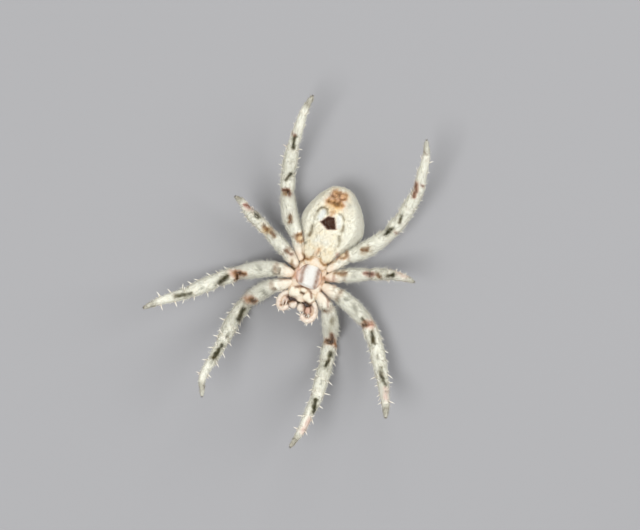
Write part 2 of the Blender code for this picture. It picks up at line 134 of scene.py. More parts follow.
def leg_knots(side, pair, pose):
    """The leg's knots (x, y, z, radius), in mm, from the coxa's root to the tip."""
    root, hip, thick, coxa, lengths, (headward, backward) = pair
    femur, tibia, metatarsus, tarsus = (heading(side, *pose[i:i + 2]) for i in (0, 2, 4, 6))
    patella = tibia.lerp(femur, PATELLA_FOLLOWS_FEMUR).normalized()
    ends = [Vector((side * root[0], root[1], LEG_ROOT_Z)), Vector((side * hip[0], *hip[1:]))]
    for way, length in zip((femur, patella, tibia, metatarsus, tarsus), lengths):
        ends.append(ends[-1] + way * length)
    turn = radians(pose[0])
    bow = Vector((side * sin(turn), -cos(turn), 0)) * headward + Vector((0, 0, -backward))
    knots = []
    for joint, radius, bowed, widened in LEG_KNOTS:
        row = min(int(joint), len(ends) - 2)
        place = ends[row].lerp(ends[row + 1], round(joint - row, 2)) + bow * bowed
        slim = thick if radius > 0.5 else (1 + thick) / 2
        knots.append((*place, radius * (slim * (1 + (coxa - 1) * widened))))
    return knots


def front_place(points):
    """Points of the front body in mm, turned a little at the waist and set on the floor plan."""
    x, y, z = points.T
    y = y - WAIST_Y
    return np.stack((STERNUM_AT[0] + x * cos(HEAD_TURN) - y * sin(HEAD_TURN),
                     STERNUM_AT[1] + WAIST_Y + x * sin(HEAD_TURN) + y * cos(HEAD_TURN), z), axis=1)


def route(knots, step, joints=None):
    """A soft curve through the knots, as stops about a step apart: place, radius, joint count."""
    joints = joints or range(len(knots))
    bpy.ops.object.select_all(action="DESELECT")
    bpy.ops.curve.primitive_bezier_curve_add()
    guide = bpy.context.object
    line = guide.data.splines[0].bezier_points
    line.add(len(knots) - 2)
    for knot, place in zip(line, knots):
        knot.co = place[:3]
        knot.handle_left_type = knot.handle_right_type = "AUTO"
    bpy.context.view_layer.update()
    rows = []
    for i in range(len(knots) - 1):
        a, b = line[i], line[i + 1]
        steps = max(2, round((b.co - a.co).length / step))
        for k in range(steps):
            u = k / steps
            place = (a.co * (1 - u)**3 + a.handle_right * 3 * u * (1 - u)**2
                     + b.handle_left * 3 * u**2 * (1 - u) + b.co * u**3)
            rows.append((*place, knots[i][3] * (1 - u) + knots[i + 1][3] * u,
                         joints[i] * (1 - u) + joints[i + 1] * u))
    rows.append((*line[-1].co, knots[-1][3], joints[-1]))
    bpy.data.objects.remove(guide)
    rows = np.array(rows, float)
    spacing = np.linalg.norm(np.diff(rows[:, :3], axis=0), axis=1)
    even = np.convolve(np.pad(rows[:, 3], 3, "edge"), np.full(7, 1 / 7), "valid")
    return {"place": rows[:, :3], "radius": even, "joint": rows[:, 4],
            "arc": np.concatenate(([0], np.cumsum(spacing)))}


def resampled(stops, step, round_start=False, round_end=True):
    """The stops spaced evenly along the route, with the chosen ends closing in a dome."""
    arc, length = stops["arc"], stops["arc"][-1]
    start, end = stops["radius"][0], stops["radius"][-1]
    dome = 1 - np.cos(np.radians(np.linspace(0, 90, 7)))
    low = start * dome if round_start else np.array([0.0])
    high = length - end * dome if round_end else np.array([length])
    middle = np.linspace(low.max(), high.min(), max(3, round((high.min() - low.max()) / step)))
    places = np.unique(np.round(np.concatenate((low, middle, high)), 6))
    x, y, z, radius, joint = (np.interp(places, arc, row)
                              for row in (*stops["place"].T, stops["radius"], stops["joint"]))
    if round_start:
        radius = radius * np.sqrt(1 - limited((start - places) / start)**2)
    if round_end:
        radius = radius * np.sqrt(1 - limited((places - length + end) / end)**2)
    return {"place": np.stack((x, y, z), axis=1), "radius": radius, "joint": joint, "arc": places}


def lengths_of(vectors, least):
    """The length of each row, as a column, and never less than the least."""
    return np.maximum(np.linalg.norm(vectors, axis=1), least)[:, None]


def frames_of(centre):
    """Along, belly and side directions at each stop of a route. The belly faces up here."""
    along = np.gradient(centre, axis=0)
    along /= np.linalg.norm(along, axis=1)[:, None]
    belly = np.array((0, 0, 1.0)) - along * along[:, 2:]
    belly /= lengths_of(belly, 1e-6)
    return along, belly, np.cross(along, belly)


# How many numbers a note on a vertex holds: the kind of attribute, and the field to read.
NOTE_KINDS = {1: ("FLOAT", "value"), 3: ("FLOAT_VECTOR", "vector"), 4: ("FLOAT_COLOR", "color")}


def read(rows, field, width, kind=np.float32):
    found = np.empty(len(rows) * width, kind)
    rows.foreach_get(field, found)
    return found.reshape(-1, width)


def points_of(piece):
    return read(piece.data.vertices, "co", 3).astype(float)


def normals_of(piece):
    return read(piece.data.vertex_normals, "vector", 3).astype(float)


def set_points(piece, points):
    piece.data.vertices.foreach_set("co", np.asarray(points, np.float32).ravel())
    piece.data.update()


def noted(piece, name, width=1):
    found = read(piece.data.attributes[name].data, NOTE_KINDS[width][1], width).astype(float)
    return found[:, 0] if width == 1 else found


def note(piece, **notes):
    """Writes one number, one direction or four shares of pigment for each vertex."""
    for name, values in notes.items():
        values = np.asarray(values, np.float32)
        if values.ndim == 0:
            values = np.full(len(piece.data.vertices), values)
        kind, field = NOTE_KINDS[values.size // len(values)]
        if name in piece.data.attributes:
            piece.data.attributes.remove(piece.data.attributes[name])
        piece.data.attributes.new(name, kind, "POINT").data.foreach_set(field, values.ravel())


def ball(name, sides, rings):
    """A new ball with its poles on Z, its faces put in one fixed order. Returns it with its
    vertices on the unit ball."""
    bpy.ops.object.select_all(action="DESELECT")
    bpy.ops.mesh.primitive_uv_sphere_add(segments=sides, ring_count=rings)
    made = bpy.context.object
    made.name = made.data.name = name
    places = [vertex.co.copy() for vertex in made.data.vertices]
    turns = [list(face.vertices) for face in made.data.polygons]
    faces = sorted(turn[turn.index(min(turn)):] + turn[:turn.index(min(turn))] for turn in turns)
    made.data.clear_geometry()
    made.data.from_pydata(places, [], faces)
    return made, points_of(made)


def limb(name, stops, sides, part, place, pinches={}):
    """A ball drawn out along the stops into a closed limb. Each vertex notes where it sits."""
    rings = len(stops["arc"]) - 1
    made, unit = ball(name, sides, rings)
    ring = np.rint(np.arccos(np.clip(-unit[:, 2], -1, 1)) / pi * rings).astype(int)
    turn = np.arctan2(unit[:, 1], unit[:, 0])
    centre = place(stops["place"])
    along, belly, side = frames_of(centre)
    radius, arc = stops["radius"][ring], stops["arc"][ring]
    for joint, (all_round, below, length) in pinches.items():
        at = np.interp(joint, stops["joint"], stops["arc"])
        radius -= hump(arc - at, length) * (all_round + below * limited(np.cos(turn))**2)
    radius[(ring == 0) | (ring == rings)] = 0
    out = np.cos(turn)[:, None] * belly[ring] + np.sin(turn)[:, None] * side[ring]
    set_points(made, (centre[ring] + out * radius[:, None]) * MM)
    flow = np.stack((arc, turn * stops["radius"].max(), np.full(len(ring), part)), axis=1)
    note(made, part=part, joint=stops["joint"][ring], flow=flow, turn=turn, lie=along[ring])
    return made


skin_parts = []
leg_lines = {}
for tag, pose in LEG_POSES.items():
    knots = leg_knots(-1 if tag[0] == "l" else 1, LEG_PAIRS[tag[1]], pose)
    stops = route(knots, LEG_STEPS[0], [knot[0] for knot in LEG_KNOTS])
    thickness = limited(stops["radius"] / THICK_LIMB)
    stops["radius"] = stops["radius"] - LEG_COAT[0] - LEG_COAT[1] * thickness
    leg_lines[tag] = stops = resampled(stops, LEG_STEPS[1])
    code = LEG_CODES[tag[0]] + int(tag[1])
    skin_parts.append(limb("leg_" + tag, stops, 30, code, front_place, JOINT_PINCHES))

# ==================================================================== palps and jaws
# The palps are short feelers of the same build as the legs, curled in beside the jaws. The
# jaws are stout and smooth, standing up in front of the mouth here. Both are limbs too.
SIDES = ((-1, "l"), (1, "r"))
PALPS = {
    "l": ((-1.10, -2.45, 5.30, 0.30), (-1.62, -2.72, 5.25, 0.32), (-1.93, -3.12, 5.10, 0.37),
          (-2.02, -3.60, 4.98, 0.40), (-1.98, -4.05, 5.05, 0.39), (-1.72, -4.40, 5.30, 0.38),
          (-1.34, -4.46, 5.58, 0.36), (-1.08, -4.22, 5.78, 0.32), (-0.98, -3.96, 5.88, 0.22)),
    "r": ((1.10, -2.45, 5.30, 0.30), (1.62, -2.72, 5.25, 0.32), (1.97, -3.15, 5.10, 0.37),
          (2.10, -3.68, 4.98, 0.40), (2.06, -4.22, 5.05, 0.39), (1.80, -4.62, 5.30, 0.38),
          (1.40, -4.74, 5.58, 0.36), (1.04, -4.60, 5.78, 0.32), (0.80, -4.32, 5.90, 0.22)),
}
PALP_PINCHES = {2: (0.03, 0.02, 0.06), 4: (0.04, 0.03, 0.08), 5: (0.03, 0.02, 0.06),
                6: (0.03, 0.02, 0.06)}
JAW_KNOTS = ((0.46, -3.20, 4.30, 0.34), (0.48, -3.55, 4.92, 0.48), (0.48, -3.66, 5.35, 0.52),
             (0.49, -3.66, 5.80, 0.48), (0.52, -3.58, 6.15, 0.36))
FACE_COAT = 0.04
FACE_STEP = 0.06
JAW_STEP = 0.07


def mirrored(side, knots, middle=0.0, coat=0.0):
    """Knots given for the right side, set to one side of a middle line, less a coat's depth."""
    return [(middle + side * x, y, z, radius - coat) for x, y, z, radius in knots]


palp_lines = {}
for code, (tag, knots) in enumerate(PALPS.items(), PALP):
    stops = route(knots, FACE_STEP)
    stops["radius"] = stops["radius"] - FACE_COAT
    palp_lines[tag] = stops = resampled(stops, FACE_STEP)
    skin_parts.append(limb("palp_" + tag, stops, 20, code, front_place, PALP_PINCHES))
for side, tag in SIDES:
    stops = route(mirrored(side, JAW_KNOTS), FACE_STEP)
    stops["radius"] = stops["radius"] - FACE_COAT
    skin_parts.append(limb("jaw_" + tag, resampled(stops, JAW_STEP), 28, JAW, front_place))

# ==================================================================== mouth and body core
# The labium and the two endites close the mouth. Under the leg roots a soft membrane joins
# the carapace to the breast plate, and the waist joins the abdomen to it.
MOUTH_TOP_Z = 6.2
MOUTH_LOW_Z = 4.66
MOUTH_MIDDLE_Z = (MOUTH_TOP_Z + MOUTH_LOW_Z) / 2
MOUTH_HALF_DEPTH = (MOUTH_TOP_Z - MOUTH_LOW_Z) / 2
CORES = {           # centre, radii, squareness, sides and rings
    "body_core": ((0, -0.75, 5.12), (1.85, 2.35, 0.78), 0.5, 48, 32),
    "mouth_core": ((0, -2.45, 5.10), (1.45, 0.72, 0.80), 0.6, 40, 28),
    "rear_core": ((0, 1.48, 5.24), (1.42, 0.74, 0.82), 0.35, 40, 28),
}


def lobe(name, centre, radii, lean, squareness, part, sides=28, rings=22):
    """A rounded block turned by lean about the upright, from a ball squared a little."""
    made, unit = ball(name, sides, rings)
    square = np.abs(unit).max(axis=1) ** squareness
    x, y, z = (unit / square[:, None] * np.array(radii)).T
    points = np.stack((centre[0] + x * cos(lean) - y * sin(lean),
                       centre[1] + x * sin(lean) + y * cos(lean), centre[2] + z), axis=1)
    set_points(made, front_place(points) * MM)
    flow = np.stack((points[:, 1], points[:, 0], points[:, 2] + part), axis=1)
    note(made, part=part, joint=0, flow=flow, turn=np.arctan2(unit[:, 0], unit[:, 2]),
         lie=np.tile((0.0, -1.0, 0.0), (len(unit), 1)))
    skin_parts.append(made)


lobe("labium", (0, -1.83, MOUTH_MIDDLE_Z - 0.05),
     (0.52 - FACE_COAT, 0.40 - FACE_COAT, MOUTH_HALF_DEPTH - 0.02), 0, 0.4, MOUTH, 36, 26)
for side, tag in SIDES:
    lobe("endite_" + tag, (side * 0.76, -2.30, MOUTH_MIDDLE_Z),
         (0.78 - FACE_COAT, 0.64 - FACE_COAT, MOUTH_HALF_DEPTH - 0.12), side * radians(-8), 0.45,
         MOUTH, 36, 26)
for name, (centre, radii, squareness, sides, rings) in CORES.items():
    lobe(name, centre, radii, 0, squareness, CORE, sides, rings)
for side, tag in SIDES:
    lobe("cheek_" + tag, (side * 1.42, -3.60 - 0.06 * side, 4.95), (0.62, 0.72, 0.38),
         side * radians(-14), 0.3, JAW)

# ==================================================================== abdomen
# The abdomen is a soft bag, squared below and domed above, that hangs over the waist. It
# rests on its back, so it is pressed flat where it meets the floor.
ABDOMEN_FRONT_Y = 1.55
ABDOMEN_REAR_Y = 10.45
ABDOMEN_CENTRE_X = 0.38
ABDOMEN_AXIS_Z = 3.5
ABDOMEN_ROLL = radians(-5)
ABDOMEN_COAT = 0.10
REST_Z = 0.035
ABDOMEN_HALF_WIDTH = ((0, 0.0), (0.03, 1.50), (0.10, 2.05), (0.22, 2.66), (0.36, 3.28),
                      (0.49, 3.56), (0.62, 3.34), (0.78, 2.62), (0.90, 1.78), (0.97, 1.0), (1, 0.0))
ABDOMEN_BELLY = ((0, 4.8), (0.03, 5.80), (0.10, 6.28), (0.22, 6.66), (0.36, 6.92), (0.5, 7.0),
                 (0.66, 6.88), (0.8, 6.45), (0.9, 5.65), (0.97, 4.75), (1, 3.7))
ABDOMEN_BACK = ((0, 4.0), (0.03, 2.95), (0.10, 1.80), (0.22, 0.72), (0.36, 0.12), (0.5, -0.06),
                (0.66, 0.06), (0.8, 0.62), (0.9, 1.45), (0.97, 2.45), (1, 3.5))
MIDLINE_SWAY = ((0, 0.1), (0.3, 0.95), (0.6, 1.2), (1, 0.7))
OVERHANG = 1.2
OVERHANG_TO_Z = 4.0
LUMP_HEIGHT = 0.018
FLOOR_SOFTNESS = 0.05
LUNG_COVERS = (
    ((-2.2, 3.2), (-1.95, 2.5), (-1.6, 1.85), (-1.2, 1.55), (-0.7, 1.55), (-0.42, 1.9)),
    ((2.2, 2.8), (1.85, 2.1), (1.45, 1.7), (1.0, 1.55), (0.6, 1.7), (0.38, 2.05)),
)


def hind_place(points):
    """Points of the abdomen in mm, rolled a little to the left and set on the floor plan."""
    x, y, z = points.T
    x, z = x - ABDOMEN_CENTRE_X, z - ABDOMEN_AXIS_Z
    return np.stack((STERNUM_AT[0] + ABDOMEN_CENTRE_X + x * cos(ABDOMEN_ROLL) + z * sin(ABDOMEN_ROLL),
                     STERNUM_AT[1] + y,
                     ABDOMEN_AXIS_Z - x * sin(ABDOMEN_ROLL) + z * cos(ABDOMEN_ROLL)), axis=1)


def plan_of(points):
    """X and Y in mm from the middle of the breast plate, as seen from above."""
    return points[:, 0] / MM - STERNUM_AT[0], points[:, 1] / MM - STERNUM_AT[1]


def stroke(x, y, line, width):
    """1 along a line drawn through the points, falling softly to 0 a width away."""
    nearest = np.full(len(x), 1e9)
    for (x0, y0), (x1, y1) in zip(line, line[1:]):
        along = ((x - x0) * (x1 - x0) + (y - y0) * (y1 - y0)) / ((x1 - x0)**2 + (y1 - y0)**2)
        along = limited(along)
        nearest = np.minimum(nearest, np.hypot(x - x0 - along * (x1 - x0), y - y0 - along * (y1 - y0)))
    return np.exp(-(nearest / width)**2 * 1.4)


def ring_shares(across, up):
    """How far out each vertex lies from the axis, and its shares sideways and upwards."""
    away = np.maximum(np.hypot(across, up), 1e-6)
    return away, across / away, up / away


def squared(side_share, up_share, squareness):
    return np.maximum(np.maximum(np.abs(side_share), np.abs(up_share)), 0.1) ** squareness


def lie_along(way, out):
    """One direction laid flat on the surface at every vertex."""
    flat = np.array((0, way, 0)) - out * (way * out[:, 1:2])
    return flat / lengths_of(flat, 1e-3)


abdomen, unit = ball("abdomen", 150, 110)
t = (unit[:, 2] + 1) / 2
turn = np.arctan2(unit[:, 1], unit[:, 0])
_, side_share, up_share = ring_shares(unit[:, 1], unit[:, 0])
half_width = smooth_line(ABDOMEN_HALF_WIDTH, t)
belly_z, back_z = smooth_line(ABDOMEN_BELLY, t), smooth_line(ABDOMEN_BACK, t)
square = squared(side_share, up_share, np.where(up_share > 0, 0.30, 0.1))
height = (belly_z + back_z) / 2 + up_share / square * (belly_z - back_z) / 2
lean = OVERHANG * (1 - t)**3 * np.maximum(0, 1 - height / OVERHANG_TO_Z)
long_y = ABDOMEN_FRONT_Y + t * (ABDOMEN_REAR_Y - ABDOMEN_FRONT_Y) - lean
centre_x = ABDOMEN_CENTRE_X * smooth_line(MIDLINE_SWAY, t)
shape = np.stack((centre_x + side_share / square * half_width, long_y, height), axis=1)
set_points(abdomen, hind_place(shape) * MM)
out, points = normals_of(abdomen), points_of(abdomen)
x, y = plan_of(points)
below = limited(out[:, 2] * 2)          # 1 on the belly, which faces up
above = limited(-out[:, 2] * 2)
waistward = limited(out[:, 2] * 2 + 0.6)
# Where the surface swells or sinks: the side it is on, height, line and width in mm.
relief = [(below, -0.09, cover, 0.16) for cover in LUNG_COVERS]
relief += [
    (below, -0.12, ((-0.1, 1.3), (-0.05, 2.3)), 0.30),
    (below, -0.05, ((-1.9, 3.5), (0, 3.75), (1.9, 3.4)), 0.22),
    (below, -0.05, ((-0.6, 5.8), (0.6, 5.7), (0.3, 6.6), (-0.3, 6.6)), 0.4),
    (waistward, 0.22, ((-1.05, 1.5), (-1.05 * 1.25, 2.3)), 0.75),
    (waistward, 0.22, ((0.95, 1.5), (0.95 * 1.25, 2.3)), 0.75),
    (below, 0.10, ((-0.55, 8.3), (0.65, 8.3)), 0.45), (below, 0.08, ((0.05, 9.6), (0.05, 9.85)), 0.22),
]
relief += [(below, -0.04, ((dent_x, dent_y), (dent_x * 1.03, dent_y + 0.1)), 0.12)
           for dent_y in (4.2, 4.9, 7.9) for dent_x in (-0.85, 0.85)]
relief += [(above, -0.06, ((dent_x, dent_y), (dent_x, dent_y + 0.12)), 0.14)
           for dent_y, far in ((4.6, 0.7), (5.9, 0.95), (7.2, 0.8)) for dent_x in (-far, far)]
rise = np.full(len(x), -ABDOMEN_COAT)
for where, swelling, line, width in relief:
    rise += swelling * where * stroke(x, y, line, width)
lumps = (np.sin(shape[:, 0] * 2.3 + shape[:, 1] * 1.1) * np.sin(shape[:, 2] * 1.9 - shape[:, 1] * 1.7)
         + 0.6 * np.sin(shape[:, 0] * 4.9 - shape[:, 2] * 3.1) * np.sin(shape[:, 1] * 5.3 + 1.0))
rise += LUMP_HEIGHT * lumps
points += out * rise[:, None] * MM
over_floor = points[:, 2] - REST_Z * MM
soft = FLOOR_SOFTNESS * MM
points[:, 2] = REST_Z * MM + (over_floor + np.sqrt(over_floor**2 + soft**2)) / 2
set_points(abdomen, points)
note(abdomen, part=ABDOMEN, joint=t, flow=np.stack((long_y, turn * 3.2, np.ones(len(x))), axis=1),
     turn=turn, lie=lie_along(1.0, out))

# ==================================================================== spinnerets and waist
# Two pairs of blunt jointed cones that the silk comes from, with a short middle pair between
# them, and the small plate of the epigyne in front. All are flesh, and join the abdomen.
BELLY_MIDLINE_X = 0.27
SPINNERETS = {
    "front": ((0.50, 8.20, 5.60, 0.46), (0.48, 8.32, 6.10, 0.47), (0.45, 8.45, 6.45, 0.41),
              (0.40, 8.56, 6.68, 0.30), (0.37, 8.62, 6.76, 0.20)),
    "rear": ((0.50, 9.45, 5.00, 0.40), (0.47, 9.34, 5.60, 0.40), (0.44, 9.25, 6.00, 0.35),
             (0.40, 9.14, 6.25, 0.24), (0.36, 9.08, 6.38, 0.15)),
    "middle": ((0.14, 8.86, 5.90, 0.14), (0.14, 8.85, 6.15, 0.14), (0.13, 8.84, 6.34, 0.10),
               (0.12, 8.84, 6.42, 0.07)),
}
EPIGYNE = ((0, 2.50, 6.10, 0.20), (0, 2.42, 6.36, 0.20), (0, 2.55, 6.48, 0.13), (0, 2.75, 6.50, 0.07))
WAIST = ((0, 0.9, 4.95, 0.30), (0, 1.6, 4.95, 0.24), (0.02, 2.4, 4.95, 0.30))
CONE_STEP = 0.05
WAIST_STEP = 0.08
for row, cone in SPINNERETS.items():
    for side, tag in SIDES:
        stops = resampled(route(mirrored(side, cone, BELLY_MIDLINE_X, 0.03), CONE_STEP), CONE_STEP)
        pinches = {2: (0.04, 0.0, 0.05)} if row != "middle" else {}
        skin_parts.append(limb(f"spinneret_{row}_{tag}", stops, 18, SPINNERET, hind_place, pinches))
stops = resampled(route(mirrored(1, EPIGYNE, BELLY_MIDLINE_X), CONE_STEP), CONE_STEP)
skin_parts.append(limb("epigyne", stops, 18, ABDOMEN, hind_place))
stops = resampled(route(WAIST, WAIST_STEP), WAIST_STEP, round_end=False)
skin_parts.append(limb("waist", stops, 18, CORE, hind_place))

# ==================================================================== one skin
# All the flesh is joined into one closed skin, and the edges where the parts meet are
# softened into folds. The skin stands for every flesh node, a coat's depth inside them.
FLESH_NODES = [name for name in frame["nodes"]
               if not name.startswith(("eye", "fang", "carapace", "sternum"))]


def only(piece):
    """Selects one piece alone, and makes it the active one."""
    bpy.ops.object.select_all(action="DESELECT")
    piece.select_set(True)
    bpy.context.view_layer.objects.active = piece


def nearest_of(points, rows):
    """A tree for finding the nearest of the chosen points."""
    tree = KDTree(len(rows))
    for row in rows:
        tree.insert(points[row], row)
    tree.balance()
    return tree


def mend_notes(piece, widths):
    """Vertices made where two parts meet take their notes from the nearest vertex that has them."""
    points = points_of(piece)
    known = noted(piece, "part") > 0.5
    tree = nearest_of(points, np.flatnonzero(known))
    lost = np.flatnonzero(~known)
    source = np.array([tree.find(points[row])[1] for row in lost], int)
    for name, width in widths.items():
        values = noted(piece, name, width)
        values[lost] = values[source]
        note(piece, **{name: values})
    return lost


skin = abdomen
skin.name = skin.data.name = "skin"
for part in skin_parts:
    only(skin)
    joint = skin.modifiers.new("join_" + part.name, "BOOLEAN")
    joint.operation = "UNION"
    joint.solver = "MANIFOLD"
    joint.object = part
    bpy.ops.object.modifier_apply(modifier=joint.name)
    bpy.data.objects.remove(part)
crease = mend_notes(skin, {"part": 1, "joint": 1, "turn": 1, "flow": 3, "lie": 3})
bpy.ops.object.mode_set(mode="EDIT")
bpy.ops.mesh.select_mode(type="VERT")
bpy.ops.mesh.select_all(action="DESELECT")
bpy.ops.object.mode_set(mode="OBJECT")
for row in crease:
    skin.data.vertices[row].select = True
bpy.ops.object.mode_set(mode="EDIT")
bpy.ops.mesh.select_more()
bpy.ops.mesh.vertices_smooth(factor=0.5, repeat=3)
bpy.ops.mesh.select_all(action="DESELECT")
bpy.ops.object.mode_set(mode="OBJECT")


def finished(piece, material, slot, *nodes):
    """Smooths and colours a piece, sets it on the root body, and hides the nodes it stands for."""
    only(piece)
    bpy.ops.object.shade_smooth()
    piece.data.materials.clear()
    piece.data.materials.append(material)
    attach(piece, "root")
    if nodes:
        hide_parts(*nodes)


# ==================================================================== markings
# Cuticle is cream over white guanine, with brown, olive, amber and pink pigment in patches,
# and painted shade in the folds and grooves between parts. Four shares of pigment, the painted
# shade among them, are noted on every vertex, and the coat takes them from its roots.
COVERING = 1.7                 # how strongly a share of pigment hides what is under it
RUFFLES_PER_MM = 2.2
# Marks on the belly side of the legs, leg by leg from the left first: points on the plan in
# mm from the middle of the breast plate, half width, and pigments (brown, olive, amber, pink).
LEG_MARKS = (
    (((-4.4, -3.3), (-4.0, -3.5)), 0.28, (0, 0.29, 0, 0)),
    (((-3.5, -2.9), (-3.2, -2.6)), 0.13, (0, 0.29, 0, 0)),
    (((-5.8, -4.8), (-5.35, -4.65)), 0.31, (0.46, 0, 0.3, 0.8)),
    (((-5.3, -4.65), (-4.9, -4.65)), 0.28, (0.74, 0, 0.4, 0.6)),
    (((-5.9, -4.5), (-5.6, -4.4)), 0.40, (0, 0, 0.05, 0.26)),
    (((-5.9, -5.9), (-5.97, -6.3), (-6.02, -7.1)), 0.28, (0, 0.95, 0.12, 0)),
    (((-6.5, -8.9), (-6.55, -9.4)), 0.13, (0, 0.36, 0, 0)),
    (((-6.72, -10.4), (-6.9, -11.2), (-7.12, -11.9)), 0.27, (0, 0.95, 0.12, 0)),
    (((-7.15, -12.1), (-7.25, -12.6)), 0.20, (0, 0.36, 0, 0)),
    (((-3.45, -0.3), (-3.35, -1.0)), 0.12, (0, 0.36, 0, 0)),
    (((-4.25, -0.6), (-4.0, -1.15), (-3.6, -1.2)), 0.12, (0, 0.36, 0, 0)),
    (((-5.85, -1.0), (-5.5, -1.25)), 0.24, (0, 0.31, 0, 0)),
    (((-8.0, -2.4), (-7.65, -2.35)), 0.27, (0.46, 0, 0.3, 0.8)),
    (((-7.5, -2.3), (-6.95, -2.2)), 0.24, (0.8, 0.1, 0.4, 0.45)),
    (((-8.45, -2.6), (-8.0, -2.7)), 0.36, (0.12, 0, 0.05, 0.34)),
    (((-7.75, -2.75), (-7.55, -3.0)), 0.24, (0.8, 0, 0.45, 0.45)),
    (((-8.75, -3.1), (-8.95, -3.5), (-9.25, -3.95)), 0.31, (0, 0.96, 0.12, 0)),
    (((-9.4, -4.1), (-9.7, -4.3)), 0.22, (0, 0.3, 0, 0)),
    (((-10.8, -5.1), (-11.0, -5.3)), 0.13, (0, 0.31, 0, 0)),
    (((-11.8, -6.1), (-12.3, -6.45), (-13.3, -6.95)), 0.23, (0, 0.75, 0.08, 0)),
    (((3.75, -3.7), (3.85, -4.4), (4.0, -5.0)), 0.27, (0, 0.34, 0.12, 0)),
    (((2.3, -3.05), (2.9, -3.1)), 0.13, (0, 0.34, 0, 0)),
    (((4.25, -5.5), (4.5, -5.85)), 0.24, (0.63, 0.63, 0.2, 0.3)),
    (((3.95, -6.3), (4.5, -6.15)), 0.30, (0.82, 0.1, 0.4, 0.45)),
    (((4.6, -6.2), (5.05, -6.3)), 0.30, (0.42, 0, 0.3, 0.8)),
    (((5.1, -6.0), (5.3, -6.3)), 0.32, (0.05, 0, 0.05, 0.31)),
    (((4.87, -7.5), (4.85, -8.2), (4.78, -8.9)), 0.28, (0, 0.94, 0.12, 0)),
    (((4.9, -10.6), (4.9, -11.0)), 0.13, (0, 0.31, 0, 0)),
    (((4.95, -12.8), (5.05, -13.5), (5.15, -14.1)), 0.28, (0, 0.95, 0.12, 0)),
    (((5.0, -15.0), (4.95, -15.7), (4.7, -16.4)), 0.36, (0, 0, 0, 0.31)),
    (((3.6, -1.4), (3.75, -1.6)), 0.20, (0, 0.36, 0, 0)),
    (((4.4, -1.3), (4.6, -1.2)), 0.20, (0, 0.32, 0, 0)),
    (((5.5, -1.6), (6.0, -2.0)), 0.32, (0, 0.27, 0, 0)),
    (((6.85, -2.65), (7.1, -2.8)), 0.19, (0, 0.75, 0.08, 0)),
    (((7.15, -3.4), (7.4, -3.2)), 0.28, (0.8, 0.1, 0.35, 0.5)),
    (((7.5, -3.15), (7.95, -2.95)), 0.32, (0.4, 0, 0.15, 0.85)),
    (((8.0, -2.8), (8.2, -3.1)), 0.40, (0.05, 0, 0.05, 0.31)),
    (((8.35, -3.7), (8.6, -4.2), (8.95, -4.8)), 0.24, (0, 0.92, 0.12, 0)),
    (((9.85, -5.9), (10.0, -6.2)), 0.14, (0, 0.29, 0, 0)),
    (((10.6, -7.2), (10.9, -7.9), (11.55, -8.65)), 0.24, (0, 0.72, 0.08, 0)),
    (((11.8, -9.2), (12.15, -9.9)), 0.36, (0, 0, 0, 0.31)),
    (((-3.55, 1.85), (-3.25, 1.6)), 0.22, (0.18, 0.53, 0, 0)),
    (((-2.9, 1.5), (-2.7, 1.55)), 0.18, (0.3, 0.25, 0, 0)),
    (((-5.7, 3.0), (-5.3, 2.75)), 0.25, (0.29, 0.63, 0.25, 0)),
    (((-6.65, 3.4), (-6.2, 3.2)), 0.25, (0.25, 0.58, 0.25, 0)),
    (((-6.3, 3.0), (-6.0, 3.1)), 0.42, (0, 0, 0.25, 0.19)),
    (((-8.05, 4.4), (-7.5, 4.15)), 0.24, (0, 0.9, 0.12, 0)),
    (((-9.4, 4.95), (-8.8, 5.0), (-8.2, 5.1)), 0.18, (0.5, 0, 0, 0.75)),
    (((-9.0, 4.7), (-8.4, 4.8)), 0.36, (0, 0, 0, 0.22)),
    (((2.5, 1.1), (3.0, 1.25), (3.45, 1.4)), 0.26, (0.2, 0.5, 0.25, 0.1)),
    (((4.3, 1.35), (4.5, 1.45)), 0.20, (0, 0.24, 0, 0)),
    (((5.55, 2.15), (6.4, 2.3)), 0.25, (0.62, 0, 0.05, 0.5)),
    (((6.85, 2.5), (7.15, 2.3)), 0.23, (0.3, 0.53, 0.25, 0)),
    (((8.0, 2.7), (8.5, 3.0)), 0.22, (0, 0.85, 0.08, 0)),
    (((9.0, 3.35), (9.9, 3.2)), 0.30, (0.05, 0, 0, 0.28)),
    (((9.2, 3.6), (9.5, 3.6)), 0.12, (0.6, 0, 0, 0.4)),
    (((-4.25, 5.3), (-4.1, 4.8)), 0.26, (0.25, 0.63, 0.25, 0)),
    (((-5.95, 7.95), (-5.4, 8.0), (-5.1, 7.5)), 0.17, (0.7, 0.25, 0.15, 0.55)),
    (((-5.7, 7.6), (-5.5, 7.6)), 0.22, (0.25, 0, 0.3, 0)),
    (((-5.7, 9.9), (-5.85, 9.6), (-6.0, 9.1)), 0.22, (0, 0.9, 0.12, 0)),
    (((-6.65, 13.8), (-6.5, 13.2), (-6.4, 12.6)), 0.24, (0, 0.92, 0.12, 0)),
    (((-7.0, 14.0), (-6.8, 14.0)), 0.20, (0.45, 0.1, 0, 0)),
    (((4.5, 4.4), (4.9, 4.6)), 0.36, (0.24, 0.68, 0.3, 0)),
    (((6.3, 6.95), (6.7, 7.7)), 0.26, (0, 0.94, 0.12, 0)),
    (((7.2, 7.55), (7.5, 7.4)), 0.16, (0.4, 0.2, 0, 0)),
    (((7.3, 9.35), (7.28, 8.7)), 0.18, (0, 0.85, 0.08, 0)),
    (((7.6, 13.3), (7.85, 12.6), (7.85, 11.8)), 0.21, (0.69, 0, 0.15, 0.55)),
    (((8.2, 13.2), (8.45, 13.25)), 0.14, (0.55, 0, 0, 0.1)),
    (((7.2, 16.75), (7.65, 16.6)), 0.13, (0.15, 0.34, 0, 0)),
)
